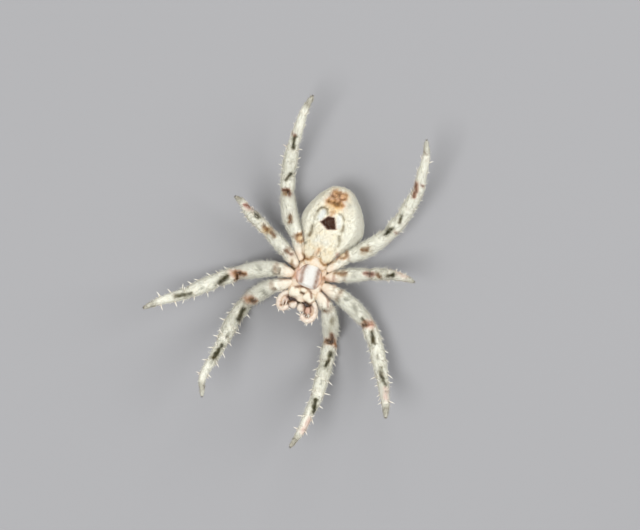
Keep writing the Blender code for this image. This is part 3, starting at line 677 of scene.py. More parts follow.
# Rings right round the leg, fainter below: joint count, half length in mm, pigments.
LEG_RINGS = (
    (1.86, 0.45, (0.55, 0.1, 0.15, 0)), (2.9, 0.35, (0.40, 0.2, 0.05, 0)),
    (3.45, 0.32, (0.38, 0.2, 0.05, 0)), (3.92, 0.35, (0.50, 0.2, 0.05, 0)),
    (4.48, 0.30, (0.35, 0.2, 0, 0)), (4.93, 0.30, (0.45, 0.1, 0, 0.1)),
)
# Marks seen on the plan of the belly: points in mm from the middle of the breast plate,
# half width, pigments.
BELLY_MARKS = (
    (((-1.62, 6.9), (-1.38, 7.38), (-0.98, 7.55), (-0.62, 7.35), (-0.45, 6.9)), 0.14, (0.03, 0.5, 0.1, 0)),
    (((-1.62, 6.9), (-1.70, 6.0), (-1.62, 5.2)), 0.13, (0.03, 0.34, 0.03, 0)),
    (((-1.6, 5.1), (-1.52, 4.6), (-1.62, 4.1)), 0.22, (0.03, 0.44, 0.1, 0)),
    (((0.72, 7.38), (1.15, 7.3), (1.45, 6.9), (1.62, 6.2)), 0.13, (0.03, 0.46, 0.1, 0)),
    (((1.64, 6.0), (1.62, 5.6)), 0.20, (0.03, 0.44, 0.1, 0)),
    (((1.52, 5.0), (1.70, 4.6)), 0.22, (0.03, 0.48, 0.1, 0)),
    (((1.75, 4.4), (1.78, 4.0)), 0.14, (0.03, 0.38, 0.1, 0)),
    (((-0.35, 7.75), (0.45, 7.75)), 0.60, (0, 0, 0.22, 0.04)),
    (((0.0, 6.85), (0.0, 7.25)), 0.32, (0.3, 0, 0.2, 0.25)),
    (((1.5, 8.45), (1.6, 8.6)), 0.24, (0, 0.3, 0, 0)),
    (((-1.9, 3.1), (-1.75, 3.2)), 0.20, (0, 0.4, 0, 0)),
    (((-0.3, 1.8), (-0.28, 2.4), (-0.1, 2.9)), 0.26, (0.1, 0, 0.1, 0.32)),
    (((-1.0, 1.8), (-0.9, 2.6)), 1.3, (0, 0, 0.09, 0.02)),
    (((1.0, 1.8), (0.9, 2.6)), 1.3, (0, 0, 0.09, 0.02)),
    (((0, 2.4), (0, 9.8)), 2.2, (0, 0, 0.1, 0)),
)
# The same for the spinnerets and the skin round them.
SPINNERET_MARKS = (
    (((-0.55, 8.4), (0.6, 8.4), (0.0, 9.2)), 0.68, (0.04, 0, 0.16, 0.50)),
    (((-0.85, 8.36), (-0.2, 8.32), (0.8, 8.34)), 0.26, (0.44, 0, 0.34, 0.80)),
    (((-0.1, 8.22), (0.25, 8.15)), 0.22, (0.40, 0, 0.34, 0.80)),
    (((-0.68, 9.0), (-0.45, 9.12)), 0.22, (0.46, 0, 0.25, 0.75)),
    (((-0.3, 9.4), (-0.15, 9.45)), 0.16, (0.42, 0, 0.25, 0.60)),
    (((0.36, 8.55), (0.42, 8.9), (0.85, 9.12)), 0.18, (0.42, 0, 0.30, 0.75)),
    (((0.1, 9.2), (0.15, 9.75)), 0.15, (0.34, 0.18, 0.1, 0.2)),
    (((-0.5, 9.5), (-0.35, 9.6)), 0.26, (0.12, 0, 0.22, 0.55)),
    (((0.45, 9.35), (0.7, 9.5)), 0.30, (0.16, 0, 0.24, 0.60)),
)
# Lines and patches on the coxae, the core and round the mouth. The brown and olive lines along the grooves
# between the coxae and between the breast plate and the mouth are partly their own colour and partly
# painted shade in the grooves; the olive spot at the labium's base and the pink patches are the cuticle's
# own colour.
FRONT_MARKS_AND_GROOVE_SHADE = (
    (((-2.9, 0.25), (-2.2, 0.35), (-1.6, 0.5)), 0.26, (0.22, 0.25, 0.05, 0)),
    (((-2.5, 0.9), (-2.4, 0.5)), 0.22, (0.1, 0.3, 0.1, 0)),
    (((1.5, 0.15), (2.1, 0.05), (2.8, -0.15)), 0.24, (0.32, 0.0, 0.05, 0.2)),
    (((-3.1, -1.55), (-2.3, -1.15), (-1.65, -1.0)), 0.15, (0.30, 0.15, 0, 0)),
    (((1.35, -1.05), (2.1, -1.4), (2.6, -1.8), (2.85, -2.6)), 0.15, (0.28, 0.1, 0, 0.1)),
    (((-1.2, -1.75), (-0.8, -1.5), (-0.3, -1.38), (0.2, -1.45), (0.6, -1.75), (0.85, -2.3)), 0.16,
     (0.40, 0.35, 0, 0)),
    (((-0.45, -2.12), (-0.12, -2.14)), 0.17, (0.10, 0.80, 0, 0)),
    (((2.4, 0.7), (2.55, -0.1)), 0.20, (0.25, 0.05, 0, 0.15)),
    (((-3.4, -0.4), (-3.35, -0.9)), 0.14, (0.05, 0.3, 0, 0)),
    (((-1.5, 0.5), (-1.65, -0.3), (-1.6, -0.8)), 0.22, (0.12, 0, 0, 0.55)),
    (((1.35, 0.2), (1.3, -0.7)), 0.20, (0.20, 0, 0.1, 0.4)),
    (((-1.9, -2.35), (-2.4, -2.75), (-2.75, -3.2)), 0.13, (0.5, 0.2, 0, 0)),
    (((1.1, -2.8), (1.6, -2.7), (1.95, -3.1), (2.2, -3.6)), 0.12, (0.40, 0.1, 0, 0.1)),
    (((2.55, -3.2), (2.9, -3.15)), 0.14, (0.05, 0.4, 0, 0)),
    (((-3.4, -2.65), (-3.1, -2.75)), 0.15, (0.05, 0.35, 0, 0)),
)
# Olive lines round the waist: the outlines of the abdomen's front lobes, and painted shade in the fold by
# the left fourth coxa; and a pink patch.
WAIST_LINES_AND_FOLD_SHADE = (
    (((-2.2, 3.15), (-1.95, 2.6), (-1.7, 2.05), (-1.25, 1.6), (-0.75, 1.7), (-0.47, 2.25)), 0.13,
     (0.14, 0.32, 0.14, 0)),
    (((-1.25, 1.6), (-1.65, 0.65)), 0.13, (0.12, 0.28, 0.12, 0)),
    (((0.36, 1.85), (1.0, 1.55), (2.0, 2.3), (2.2, 2.85)), 0.14, (0.18, 0.30, 0.16, 0)),
    (((1.95, 3.1), (2.05, 2.7)), 0.20, (0.10, 0, 0, 0.55)),
)
# The face: brown streaks along the palps and two near-black patches in front of the endites, partly the
# brown of the palps and fang bases and partly painted shade in the gaps between the palps, jaws and
# endites; and one pink patch.
FACE_MARKS_AND_GAP_SHADE = (
    (((-1.0, -3.2), (-1.45, -3.6), (-2.05, -4.1)), 0.19, (0.62, 0, 0.25, 0.2)),
    (((0.42, -3.4), (0.62, -4.0), (1.0, -4.45), (1.2, -4.2)), 0.18, (0.62, 0, 0.15, 0.35)),
    (((0.95, -3.15), (1.2, -3.6), (1.25, -3.85)), 0.15, (0.66, 0, 0.1, 0.2)),
    (((0.75, -3.45), (0.9, -3.95)), 0.26, (0.08, 0, 0.05, 0.60)),
    (((-1.6, -3.0), (-0.8, -3.06)), 0.24, (0.97, 0, 0, 0)),
    (((0.32, -3.05), (0.85, -3.2)), 0.26, (0.97, 0, 0, 0)),
)
WHITE_PATCHES = (
    (((-0.95, 7.05), (-1.0, 6.7), (-1.1, 6.35)), 0.36, 0.95),
    (((0.85, 7.0), (1.0, 6.5), (1.12, 6.0)), 0.30, 0.85), (((0.0, 3.0), (0.0, 5.0)), 1.0, 0.5),
)
DARK_PATCH = ((-0.98, 5.88), (0.0, 5.32), (0.98, 5.62), (0.42, 6.85), (-0.35, 6.75))
TROCHANTER_RINGS = (((-2.42, 3.5), 0.42), ((2.52, 3.3), 0.44))


def fold_shade_shares(piece, rows):
    """How much painted shade lies in the folds where two parts meet: 1 in them, falling away over the first
    tenth of a millimetre.
    """
    points = points_of(piece)
    tree = nearest_of(points, rows)
    return hump(np.array([tree.find(point)[2] for point in points]) / MM, 0.10)


def pool(pigment, mask, shares):
    """Adds pigments where the mask is, none above its full share."""
    pigment += mask[:, None] * np.array(shares, float) * (1 - pigment)


def paint(pigment, mask, x, y, marks, widen=1.0):
    """Adds the pigments of strokes on the plan."""
    for line, width, shares in marks:
        pool(pigment, mask * stroke(x, y, line, width * widen), shares)


def inside(x, y, corners, softness):
    """1 inside the corners, which run anticlockwise, and 0 outside."""
    depth = np.full(len(x), 1e9)
    for (x0, y0), (x1, y1) in zip(corners, corners[1:] + corners[:1]):
        length = np.hypot(x1 - x0, y1 - y0)
        depth = np.minimum(depth, ((x1 - x0) * (y - y0) - (y1 - y0) * (x - x0)) / length)
    return limited(0.5 + depth / softness)


def folium(x, y):
    """The leaf-shaped figure on the back: a scalloped dark edge, a tan field and the heart's mark."""
    along = limited((y - 1.6) / 8.2)
    aside = x - 0.3
    reach = 2.15 * np.sin(pi * limited(along * 0.9 + 0.08)) ** 0.6
    reach = reach * (1 + 0.10 * np.sin(along * 26))
    ends = limited(8 * along) * limited(8 * (1 - along))
    return (hump(np.abs(aside) - reach, 0.17) * ends, limited((reach - np.abs(aside)) / 0.3) * ends,
            hump(aside, 0.20 + 0.12 * np.sin(along * 20)) * limited(3 - 3 * along) * ends)


def pigments_and_shade_of(piece):
    """Shares of brown, olive, amber and pink for each vertex of the skin, painted shade in the folds,
    grooves and gaps included.
    """
    points, up = points_of(piece), normals_of(piece)[:, 2]
    part = np.rint(noted(piece, "part"))
    joint, turn, arc = noted(piece, "joint"), noted(piece, "turn"), noted(piece, "flow", 3)[:, 0]
    x, y = plan_of(points)
    pigment = np.zeros((len(x), 4))
    upper = 0.04 + 0.96 * limited(0.15 - np.cos(turn))
    for tag, stops in leg_lines.items():
        mine = part == LEG_CODES[tag[0]] + int(tag[1])
        shift = random.uniform(-0.12, 0.12)
        for at, half_length, shares in LEG_RINGS:
            place = np.interp(at, stops["joint"], stops["arc"]) + shift
            pool(pigment, mine * (upper * hump(arc - place, half_length)), shares)
        hip = np.interp(1, stops["joint"], stops["arc"])
        pool(pigment, mine * limited((joint - 4.95) / 0.4), (0.03, 0.34, 0, 0))
        pool(pigment, mine * hump(arc - hip, 0.12), (0.10, 0.20, 0.05, 0.05))
        pool(pigment, mine * limited(1 - arc / 2.4), (0.03, 0, 0.08, 0.16))
    ruffle = np.array([noise.noise_vector(Vector(point) / MM * RUFFLES_PER_MM) for point in points])
    uneven = (part > LEG) * limited(up * 2.5 + 0.2) * np.clip(1.05 + 0.6 * ruffle[:, 2], 0.5, 1)
    for line, width, shares in LEG_MARKS:
        found = stroke(x + 0.13 * ruffle[:, 0], y + 0.13 * ruffle[:, 1], line, width * 1.08)
        pool(pigment, uneven * limited(1.15 * found), shares)
    belly = (part == ABDOMEN) * limited(up * 2.5)
    paint(pigment, belly, x, y, BELLY_MARKS)
    core = (part == CORE) * (y > 1) * limited(up * 2)
    paint(pigment, belly + core, x, y, [(cover, 0.17, (0.34, 0.08, 0.40, 0.05)) for cover in LUNG_COVERS])
    patch = belly * inside(x, y, DARK_PATCH, 0.16)
    for line, width, strength in WHITE_PATCHES[:2]:
        pigment[:, 2:] *= (1 - strength * belly * limited(1.5 * stroke(x, y, line, width)))[:, None]
    pigment *= (1 - patch)[:, None]
    pool(pigment, patch * (1.08 - 0.15 * inside(x, y, DARK_PATCH, 1.1)), (0.98, 0, 0, 0))
    back = (part == ABDOMEN) * limited(-up * 2 + 0.4)
    edge, field, heart = folium(x, y)
    pool(pigment, back * edge, (0.62, 0.1, 0.1, 0))
    pool(pigment, back * field, (0.16, 0.10, 0.12, 0))
    pool(pigment, back * heart * 0.7, (0.30, 0.0, 0.1, 0))
    streaks = limited(np.sin(y * 5.2 + np.sin(points[:, 2] / MM * 2.1)) - 0.35)
    pool(pigment, (part == ABDOMEN) * hump(up + 0.15, 0.35) * streaks * 0.5, (0.22, 0.2, 0.1, 0))
    wavy_x, wavy_y = x + 0.12 * ruffle[:, 0], y + 0.12 * ruffle[:, 1]
    paint(pigment, (part == SPINNERET) + belly, wavy_x, wavy_y, SPINNERET_MARKS)
    pool(pigment, part == SPINNERET, (0.05, 0, 0.06, 0.20))
    root = (part > LEG) & (joint < 1.25)
    topside = limited(up * 2 + 0.6)
    # Lines round the coxae, the mouth and the waist, with the painted shade in their grooves and folds, on
    # the faces that look up.
    paint(pigment, (((part >= CORE) & (part <= JAW)) | root) * topside, x, y, FRONT_MARKS_AND_GROOVE_SHADE)
    paint(pigment, ((part <= CORE) | root) * topside, x, y, WAIST_LINES_AND_FOLD_SHADE)
    near = (part > LEG) & (up > 0.1)
    for (ring_x, ring_y), radius in TROCHANTER_RINGS:
        away = np.hypot(x - ring_x, y - ring_y)
        pool(pigment, near * hump(away - radius, 0.17), (0.40, 0.05, 0.34, 0.20))
        pool(pigment, near * hump(away, 0.24), (0, 0, 0.32, 0.12))
    face = (part >= JAW) & (part < SHELL)
    pool(pigment, face, (0, 0, 0, 0.19))
    # The palps' brown streaks and the dark patches, partly painted shade in the gaps about the jaws; the
    # patches reach onto the core and mouth too.
    paint(pigment, face * limited(up * 2 + 1), x, y, FACE_MARKS_AND_GAP_SHADE)
    paint(pigment, (part == CORE) | (part == MOUTH), x, y, FACE_MARKS_AND_GAP_SHADE[4:], 0.8)
    pool(pigment, part == MOUTH, (0, 0, 0.05, 0.10))
    pool(pigment, part == CORE, (0.03, 0.0, 0.06, 0.16))
    # Painted shade in the folds where two parts meet, on the body and at the leg roots: faint on the
    # spinnerets, lighter on the abdomen, mouth, jaws and front of the core.
    soft = (part <= SPINNERET) | (part == MOUTH) | (part == JAW) | ((part == CORE) & (y < -1.5))
    shade = np.where(part == SPINNERET, 0.08, np.where(soft, 0.30, 0.5))
    pool(pigment, fold_shade_shares(piece, crease) * ((part < LEG) | (joint < 1.2)) * shade,
         (0.26, 0.12, 0.22, 0.05))
    return 1 - (1 - limited(pigment)) ** COVERING


def whites_of(piece):
    """How far each vertex of the skin is whitened by guanine lying under clear cuticle."""
    part = np.rint(noted(piece, "part"))
    x, y = plan_of(points_of(piece))
    belly = (part == ABDOMEN) * limited(normals_of(piece)[:, 2] * 2.5)
    white = 0.15 * (part == ABDOMEN) + 0.22 * (part > LEG)
    for line, width, strength in WHITE_PATCHES:
        white = np.maximum(white, strength * belly * limited(1.6 * stroke(x, y, line, width)))
    return white * (part != SPINNERET)


random = np.random.default_rng(11)
noise.seed_set(11)
note(skin, pigment=pigments_and_shade_of(skin), white=whites_of(skin))


def fill(tree, node, inputs):
    """Fills a node's inputs with values, or with links where a socket is given."""
    for name, value in inputs.items():
        if isinstance(value, bpy.types.NodeSocket):
            tree.links.new(value, node.inputs[name])
        else:
            node.inputs[name].default_value = value


def add(tree, kind, inputs={}, **settings):
    """A new node with its settings and inputs. Returns its outputs."""
    made = tree.nodes.new("ShaderNode" + kind)
    for name, value in settings.items():
        setattr(made, name, value)
    fill(tree, made, inputs)
    return made.outputs


def blended(tree, factor, a, b):
    """One colour mixed into another by a factor."""
    return add(tree, "Mix", {"Factor": factor, "A": a, "B": b}, data_type="RGBA")["Result"]


def worked(tree, kind, a, b, clamp=False):
    """A sum, a difference or a product of two numbers or sockets."""
    step = tree.nodes.new("ShaderNodeMath")
    step.operation, step.use_clamp = kind, clamp
    fill(tree, step, {0: a, 1: b})
    return step.outputs["Value"]


def group_tree(name, takes, gives):
    """A new node group with named sockets. Returns its tree, what it is given, and its end."""
    tree = bpy.data.node_groups.new(name, "ShaderNodeTree")
    for way, sockets in (("INPUT", takes), ("OUTPUT", gives)):
        for socket, kind in sockets.items():
            tree.interface.new_socket(socket, in_out=way, socket_type="NodeSocket" + kind)
    return tree, tree.nodes.new("NodeGroupInput").outputs, tree.nodes.new("NodeGroupOutput")


CHALK = (0.75, 0.765, 0.725, 1)
PIGMENTS = {      # colour of a thin and of a thick layer
    "pink": ((0.70, 0.42, 0.35, 1), (0.70, 0.42, 0.35, 1)),
    "amber": ((0.86, 0.60, 0.19, 1), (0.86, 0.60, 0.19, 1)),
    "olive": ((0.125, 0.115, 0.040, 1), (0.036, 0.034, 0.012, 1)),
    "brown": ((0.40, 0.10, 0.03, 1), (0.032, 0.009, 0.003, 1)),
}


def colour_group():
    """Cream cuticle with its pigments, broken up by fine noise, as one shared node group."""
    tree, given, end = group_tree(
        "cuticle_colour", {"Ground": "Color", "Pale": "Color", "Grain per metre": "Float"},
        {"Colour": "Color", "Roughness": "Float"})
    place = add(tree, "TexCoord")["Object"]
    pigment = add(tree, "Attribute", attribute_name="pigment")
    split = add(tree, "SeparateColor", {"Color": pigment["Color"]})
    grain = add(tree, "TexNoise", {"Vector": place, "Scale": given["Grain per metre"], "Detail": 4,
                                   "Roughness": 0.65})["Fac"]
    cells = add(tree, "TexVoronoi", {"Vector": place, "Scale": 4200})["Distance"]
    spread = add(tree, "MapRange", {"Value": cells, "From Min": 0.15, "From Max": 0.55})["Result"]
    white = add(tree, "Attribute", attribute_name="white")["Fac"]
    colour = blended(tree, white, blended(tree, spread, given["Ground"], given["Pale"]), CHALK)
    swing = worked(tree, "MULTIPLY", worked(tree, "SUBTRACT", grain, 0.5), 5.0)
    shares = (pigment["Alpha"], split["Blue"], split["Green"], split["Red"])
    for share, (thin, thick) in zip(shares, PIGMENTS.values()):
        room = worked(tree, "MULTIPLY", share, worked(tree, "SUBTRACT", 1.0, share))
        amount = worked(tree, "ADD", share, worked(tree, "MULTIPLY", room, swing), clamp=True)
        layer = thin if thin == thick else blended(tree, amount, thin, thick)
        colour = blended(tree, amount, colour, layer)
    shine = add(tree, "MapRange", {"Value": grain, "To Min": 0.42, "To Max": 0.68})["Result"]
    fill(tree, end, {"Colour": colour, "Roughness": shine})
    return tree


def down_group():
    """Short hairs lying flat along the flow of the coat, as a height for bump."""
    tree, given, end = group_tree("flat_down", {"Hairs per mm": "Float"}, {"Height": "Float"})
    flow = add(tree, "Attribute", attribute_name="flow")["Vector"]
    stretch = add(tree, "Mapping", {"Vector": flow, "Scale": (0.22, 1.0, 1.0)})["Vector"]
    strands = add(tree, "TexNoise", {"Vector": stretch, "Scale": given["Hairs per mm"], "Detail": 2})
    fill(tree, end, {"Height": strands["Fac"]})
    return tree


CUTICLE_COLOUR = colour_group()
FLAT_DOWN = down_group()


def new_material(name):
    made = bpy.data.materials.new(name)
    made.use_nodes = True
    return made, made.node_tree, made.node_tree.nodes["Principled BSDF"]


def cuticle(name, ground, pale, grain, hairs_per_mm, bump_depth, coat=0.0):
    """Pigmented cuticle under flat down, whose relief is bump_depth deep in mm."""
    made, tree, shader = new_material(name)
    colour = add(tree, "Group", {"Ground": (*ground, 1), "Pale": (*pale, 1), "Grain per metre": grain},
                 node_tree=CUTICLE_COLOUR)
    down = add(tree, "Group", {"Hairs per mm": hairs_per_mm}, node_tree=FLAT_DOWN)["Height"]
    bump = add(tree, "Bump", {"Height": down, "Distance": bump_depth * MM, "Strength": 0.7})["Normal"]
    fill(tree, shader, {"Base Color": colour["Colour"], "Roughness": colour["Roughness"], "Normal": bump,
                        "Specular IOR Level": 0.08, "Coat Weight": coat})
    return made


FOLD_ANGLE = radians(50)
BODY_GRAIN = 900               # specks per metre
SKIN_CREAM = cuticle("skin_cream", (0.78, 0.75, 0.595), (0.84, 0.835, 0.72), BODY_GRAIN, 14, 0.05)
finished(skin, SKIN_CREAM, "leg_cream", *FLESH_NODES)
bpy.ops.object.shade_smooth_by_angle(angle=FOLD_ANGLE)

# ==================================================================== breast plate
# The sternum is a hard shield between the leg roots, straight in front and pointed behind,
# white down the middle with a brown band on each side and a faint swelling by each leg.
STERNUM_TOP_Z = 6.35
STERNUM_LOW_Z = 5.2
STERNUM_LENGTH = 2.8
STERNUM_WIDTH = 2.9
STERNUM_REACH = ((-1, 0.0), (-0.97, 0.50), (-0.8, 0.80), (-0.35, 1.0), (0.2, 0.93), (0.65, 0.62),
                 (0.92, 0.26), (1, 0.0))
STERNUM_MARKS = (
    (((-0.80, 0.95), (-0.97, 0.3), (-0.97, -0.1), (-0.86, -0.95)), 0.27, (0.26, 0.40, 0.0, 0.08)),
    (((0.64, 0.85), (0.66, 0.1), (0.76, -0.3), (0.80, -1.05)), 0.25, (0.24, 0.40, 0.0, 0.04)),
    (((1.05, 0.95), (1.2, 0.35), (1.45, 0.0)), 0.14, (0.30, 0.25, 0, 0)),
    (((-1.35, 0.4), (-1.42, -0.3), (-1.28, -1.1)), 0.26, (0.04, 0, 0.05, 0.42)),
    (((1.05, 0.5), (1.16, -0.2), (1.18, -0.9)), 0.22, (0.08, 0, 0.14, 0.50)),
    (((-0.9, 0.95), (-1.0, 0.6)), 0.14, (0.25, 0.1, 0, 0)),
    (((-1.3, -1.0), (-1.2, -1.5)), 0.16, (0.28, 0.2, 0.1, 0)),
    (((0.5, 1.3), (-0.1, 1.35), (-0.6, 1.25)), 0.25, (0.02, 0, 0.3, 0)),
)
sternum, unit = ball("sternum_plate", 72, 48)
x, y, z = unit.T
reach = smooth_line(STERNUM_REACH, y)
reach = reach * (1 + 0.045 * np.cos((y + 0.12) * 9.5) * (1 - y * y))
_, side_share, up_share = ring_shares(x, z)
square = squared(side_share, up_share, 0.72)
thick = (STERNUM_TOP_Z - STERNUM_LOW_Z) / 2
height = (up_share / square * thick * np.where(up_share > 0, 1 - 0.30 * y * y, 1)
          * np.minimum(1, 3 * (1 - np.abs(y)) + 0.4))
local_x = side_share / square * reach * STERNUM_WIDTH / 2 * 0.985
crown = np.where(up_share > 0, -0.10 * (local_x / 1.45)**2, 0)
points = np.stack((local_x, y * STERNUM_LENGTH / 2 * 0.99 - 0.05,
                   (STERNUM_TOP_Z + STERNUM_LOW_Z) / 2 + height + crown - 0.02), axis=1)
set_points(sternum, front_place(points) * MM)
x, y = plan_of(points_of(sternum))
pigment = np.zeros((len(x), 4))
paint(pigment, 1, x, y, STERNUM_MARKS)
pool(pigment, limited((np.hypot(unit[:, 0], unit[:, 1]) - 0.955) * 30), (0.45, 0.05, 0.10, 0.2))
note(sternum, pigment=1 - (1 - pigment) ** COVERING,
     white=0.35 * stroke(x, y, ((-0.08, 1.0), (-0.08, -1.2)), 0.45),
     flow=np.stack((y, x, np.zeros(len(x))), axis=1))
STERNUM_WHITE = cuticle("sternum_white", (0.60, 0.56, 0.51), (0.66, 0.64, 0.60), 1500, 9, 0.03, coat=0.15)
finished(sternum, STERNUM_WHITE, "sternum_white", "sternum")

# ==================================================================== carapace and eyes
# The shield over the back of the front body, under it here: broad at the legs, narrow at
# the head, with a pit in the middle, furrows fanning from it, and eight glossy eyes in front.
CARAPACE_FRONT_Y = -3.45
CARAPACE_REAR_Y = 1.38
CARAPACE_RIM_Z = 4.55
CARAPACE_CROWN_Z = 2.35
CARAPACE_EDGE_Z = 4.2          # half way round the turned-in edge
PIT_Y = -0.55
THIN_COVERING = 1.3
CARAPACE_HALF_WIDTH = ((0, 0.0), (0.06, 0.95), (0.2, 1.30), (0.36, 1.50), (0.55, 2.15),
                       (0.72, 2.35), (0.88, 1.80), (0.97, 0.95), (1, 0.0))
CARAPACE_DEPTH = ((0, 0.2), (0.05, 0.80), (0.18, 0.98), (0.35, 0.96), (0.55, 1.0), (0.75, 0.86),
                  (0.9, 0.52), (1, 0.2))
EYES = (               # row and group, place on the right side, radius
    ("front_median", 0.25, -3.38, 3.62, 0.17), ("rear_median", 0.22, -3.17, 2.98, 0.16),
    ("front_lateral", 0.88, -3.19, 3.78, 0.13), ("rear_lateral", 1.02, -2.98, 3.62, 0.13),
)
eye_places = [(f"eye_{eye}_{tag}", np.array((side * eye_x, eye_y, eye_z)), radius)
              for eye, eye_x, eye_y, eye_z, radius in EYES for side, tag in SIDES]
carapace, unit = ball("carapace_shield", 96, 90)
across, up = unit[:, 1], unit[:, 0]
t = (unit[:, 2] + 1) / 2
away, side_share, up_share = ring_shares(across, up)
depth = smooth_line(CARAPACE_DEPTH, t) * (CARAPACE_RIM_Z - 0.35 - CARAPACE_CROWN_Z)
rise = 0.32 * np.minimum(1, np.minimum(6 * t, 6 * (1 - t)))
height = np.where(away < 1e-5, -0.1, np.where(up_share > 0, up_share * rise, up_share * depth))
local = np.stack((side_share * smooth_line(CARAPACE_HALF_WIDTH, t),
                  CARAPACE_FRONT_Y + t * (CARAPACE_REAR_Y - CARAPACE_FRONT_Y),
                  CARAPACE_RIM_Z - 0.35 + height), axis=1)
set_points(carapace, front_place(local) * MM)
out = normals_of(carapace)
x, y, z = local.T
dorsal = limited(-up_share * 2)
sink = 0.03 + 0.14 * dorsal * np.exp(-(x / 0.12)**2 - ((y - PIT_Y) / 0.32)**2)
for side in (-1, 1):
    neck = ((side * 0.12, -0.8), (side * 0.75, -1.7), (side * 1.2, -2.2))
    sink += 0.08 * dorsal * stroke(x, y, neck, 0.13)
    for far_x, far_y in ((1.9, -0.9), (2.1, -0.1), (1.7, 0.7)):
        sink += 0.05 * dorsal * stroke(x, y, ((side * 0.3, -0.5), (side * far_x, far_y)), 0.14)
sink += 0.04 * hump(z - CARAPACE_EDGE_Z - 0.05, 0.10)
pigment = np.zeros((len(x), 4))
pool(pigment, np.ones(len(x)), (0.10, 0.08, 0.30, 0.05))
for side in (-1, 1):
    band = ((side * 0.9, -2.4), (side * 1.15, -1.2), (side * 1.55, -0.2), (side * 1.2, 0.9))
    groove = ((side * 0.12, -0.8), (side * 1.2, -2.2))
    paint(pigment, dorsal, x, y, ((band, 0.38, (0.55, 0.1, 0.1, 0)), (groove, 0.12, (0.4, 0.1, 0, 0))))
pool(pigment, dorsal * np.exp(-(x / 0.10)**2 - ((y - PIT_Y) / 0.4)**2), (0.7, 0, 0, 0))
pool(pigment, hump(z - CARAPACE_EDGE_Z, 0.12), (0.45, 0.1, 0.1, 0))
for _, place, radius in eye_places:
    away = np.linalg.norm(local - place, axis=1)
    sink -= 0.05 * hump(away - radius * 1.15, 0.09)
    pool(pigment, np.exp(-(away / (radius * 1.5))**4), (0.75, 0, 0.1, 0))
set_points(carapace, points_of(carapace) - out * sink[:, None] * MM)
note(carapace, pigment=1 - (1 - limited(pigment)) ** THIN_COVERING, white=0,
     flow=np.stack((y, np.arctan2(across, up) * 1.8, np.zeros(len(x))), axis=1), part=SHELL, joint=t,
     lie=lie_along(-1.0, out))
CARAPACE_TAN = cuticle("carapace_tan", (0.62, 0.50, 0.34), (0.74, 0.66, 0.52), 1200, 12, 0.04)
finished(carapace, CARAPACE_TAN, "carapace_tan", "carapace")


def glossy(name, dark, light, smooth, rough, scale, coat):
    """Hard cuticle with depths of colour in it, its roughness between smooth and rough."""
    made, tree, shader = new_material(name)
    place = add(tree, "TexCoord")["Object"]
    depths = add(tree, "TexNoise", {"Vector": place, "Scale": scale})["Fac"]
    gloss = add(tree, "MapRange", {"Value": depths, "To Min": smooth, "To Max": rough})["Result"]
    fill(tree, shader, {"Base Color": blended(tree, depths, (*dark, 1), (*light, 1)), "Roughness": gloss,
                        "Coat Weight": coat})
    return made


EYE_BLACK = glossy("eye_black", (0.004, 0.003, 0.003), (0.030, 0.014, 0.008), 0.06, 0.14, 5000, 1.0)
for name, place, radius in eye_places:
    lens, unit = ball(name + "_lens", 28, 20)
    set_points(lens, front_place(place + unit * radius) * MM)
    finished(lens, EYE_BLACK, "eye_black", name)

# ==================================================================== fangs and claws
# The fangs are curved, hollow-tipped teeth of hard dark cuticle folded over the jaw ends.
# Each foot ends in two combed claws and a small middle hook that grips the silk.
FANG_KNOTS = ((1.10, -3.30, 6.18, 0.17), (0.98, -3.22, 6.32, 0.18), (0.76, -3.15, 6.38, 0.14),
              (0.52, -3.10, 6.36, 0.085), (0.30, -3.08, 6.28, 0.02))
CLAW_FORMS = ((0.07, 0.0, 0.17, 0.030), (-0.07, 0.0, 0.17, 0.030), (0.0, 0.06, 0.10, 0.024))
# The knots of a claw: shares of its reach ahead, its drop below, and shares of its spread and radius.
CLAW_KNOTS = ((0.6, -0.03, 0.3, 0.8), (1, 0.05, 0.4, 0.45), (0.95, 0.11, 0.4, 0))
CLAW_TIP = 0.005
TOOTH_STEP = 0.03
FANG_DARK = glossy("fang_dark", (0.010, 0.004, 0.002), (0.045, 0.014, 0.006), 0.26, 0.42, 4000, 0.15)
for side, tag in SIDES:
    stops = resampled(route(mirrored(side, FANG_KNOTS), TOOTH_STEP), TOOTH_STEP, round_start=True)
    fang = limb("fang_tooth_" + tag, stops, 20, TOOTH, front_place)
    finished(fang, FANG_DARK, "fang_dark", "fang_" + tag)

claw_parts = []
for stops in leg_lines.values():
    centre = front_place(stops["place"])
    tip, (ahead, under, beside) = centre[-3], (way[-3] for way in frames_of(centre))
    for aside, drop, reach, radius in CLAW_FORMS:
        start = tip + beside * aside * 0.8 + under * drop
        knots = [(*start, radius)]
        for ahead_share, down, spread, size in CLAW_KNOTS:
            place = start + ahead * reach * ahead_share + under * down + beside * aside * spread
            knots.append((*place, radius * size or CLAW_TIP))
        hook = resampled(route(knots, TOOTH_STEP), TOOTH_STEP, round_start=True)
        claw_parts.append(limb("claw", hook, 8, TOOTH, np.asarray))
claws = claw_parts[0]
only(claws)
for part in claw_parts:
    part.select_set(True)
bpy.ops.object.join()
claws.name = claws.data.name = "claws"
finished(claws, FANG_DARK, "claw_brown")

# ==================================================================== coat
# Fine pale hairs lie back along the legs and body, and longer ones break the outline. Each
# is a thin three-sided blade rooted in the skin, with the pigment of the place it grows from.
MAP_PATCH = 0.0015             # half the width of a hair's patch on the map
MAP_ANGLE = radians(66)
MAP_GAP = 0.002
LOWEST = 0.008                 # no hair reaches lower than this, in mm
ROOT_DEPTH = 0.02
SWAY = 0.22
LIFT_SPREAD = 0.3
TAPER = 0.75
TONE_SHARE = 0.22              # how much the hairs differ from each other


def unwrapped(piece):
    """Unwraps a piece, and returns each corner's place on the map."""
    only(piece)
    bpy.ops.object.mode_set(mode="EDIT")
    bpy.ops.mesh.select_all(action="SELECT")
    bpy.ops.uv.smart_project(angle_limit=MAP_ANGLE, island_margin=MAP_GAP)
    bpy.ops.object.mode_set(mode="OBJECT")
    return read(piece.data.uv_layers.active.data, "uv", 2).astype(float)


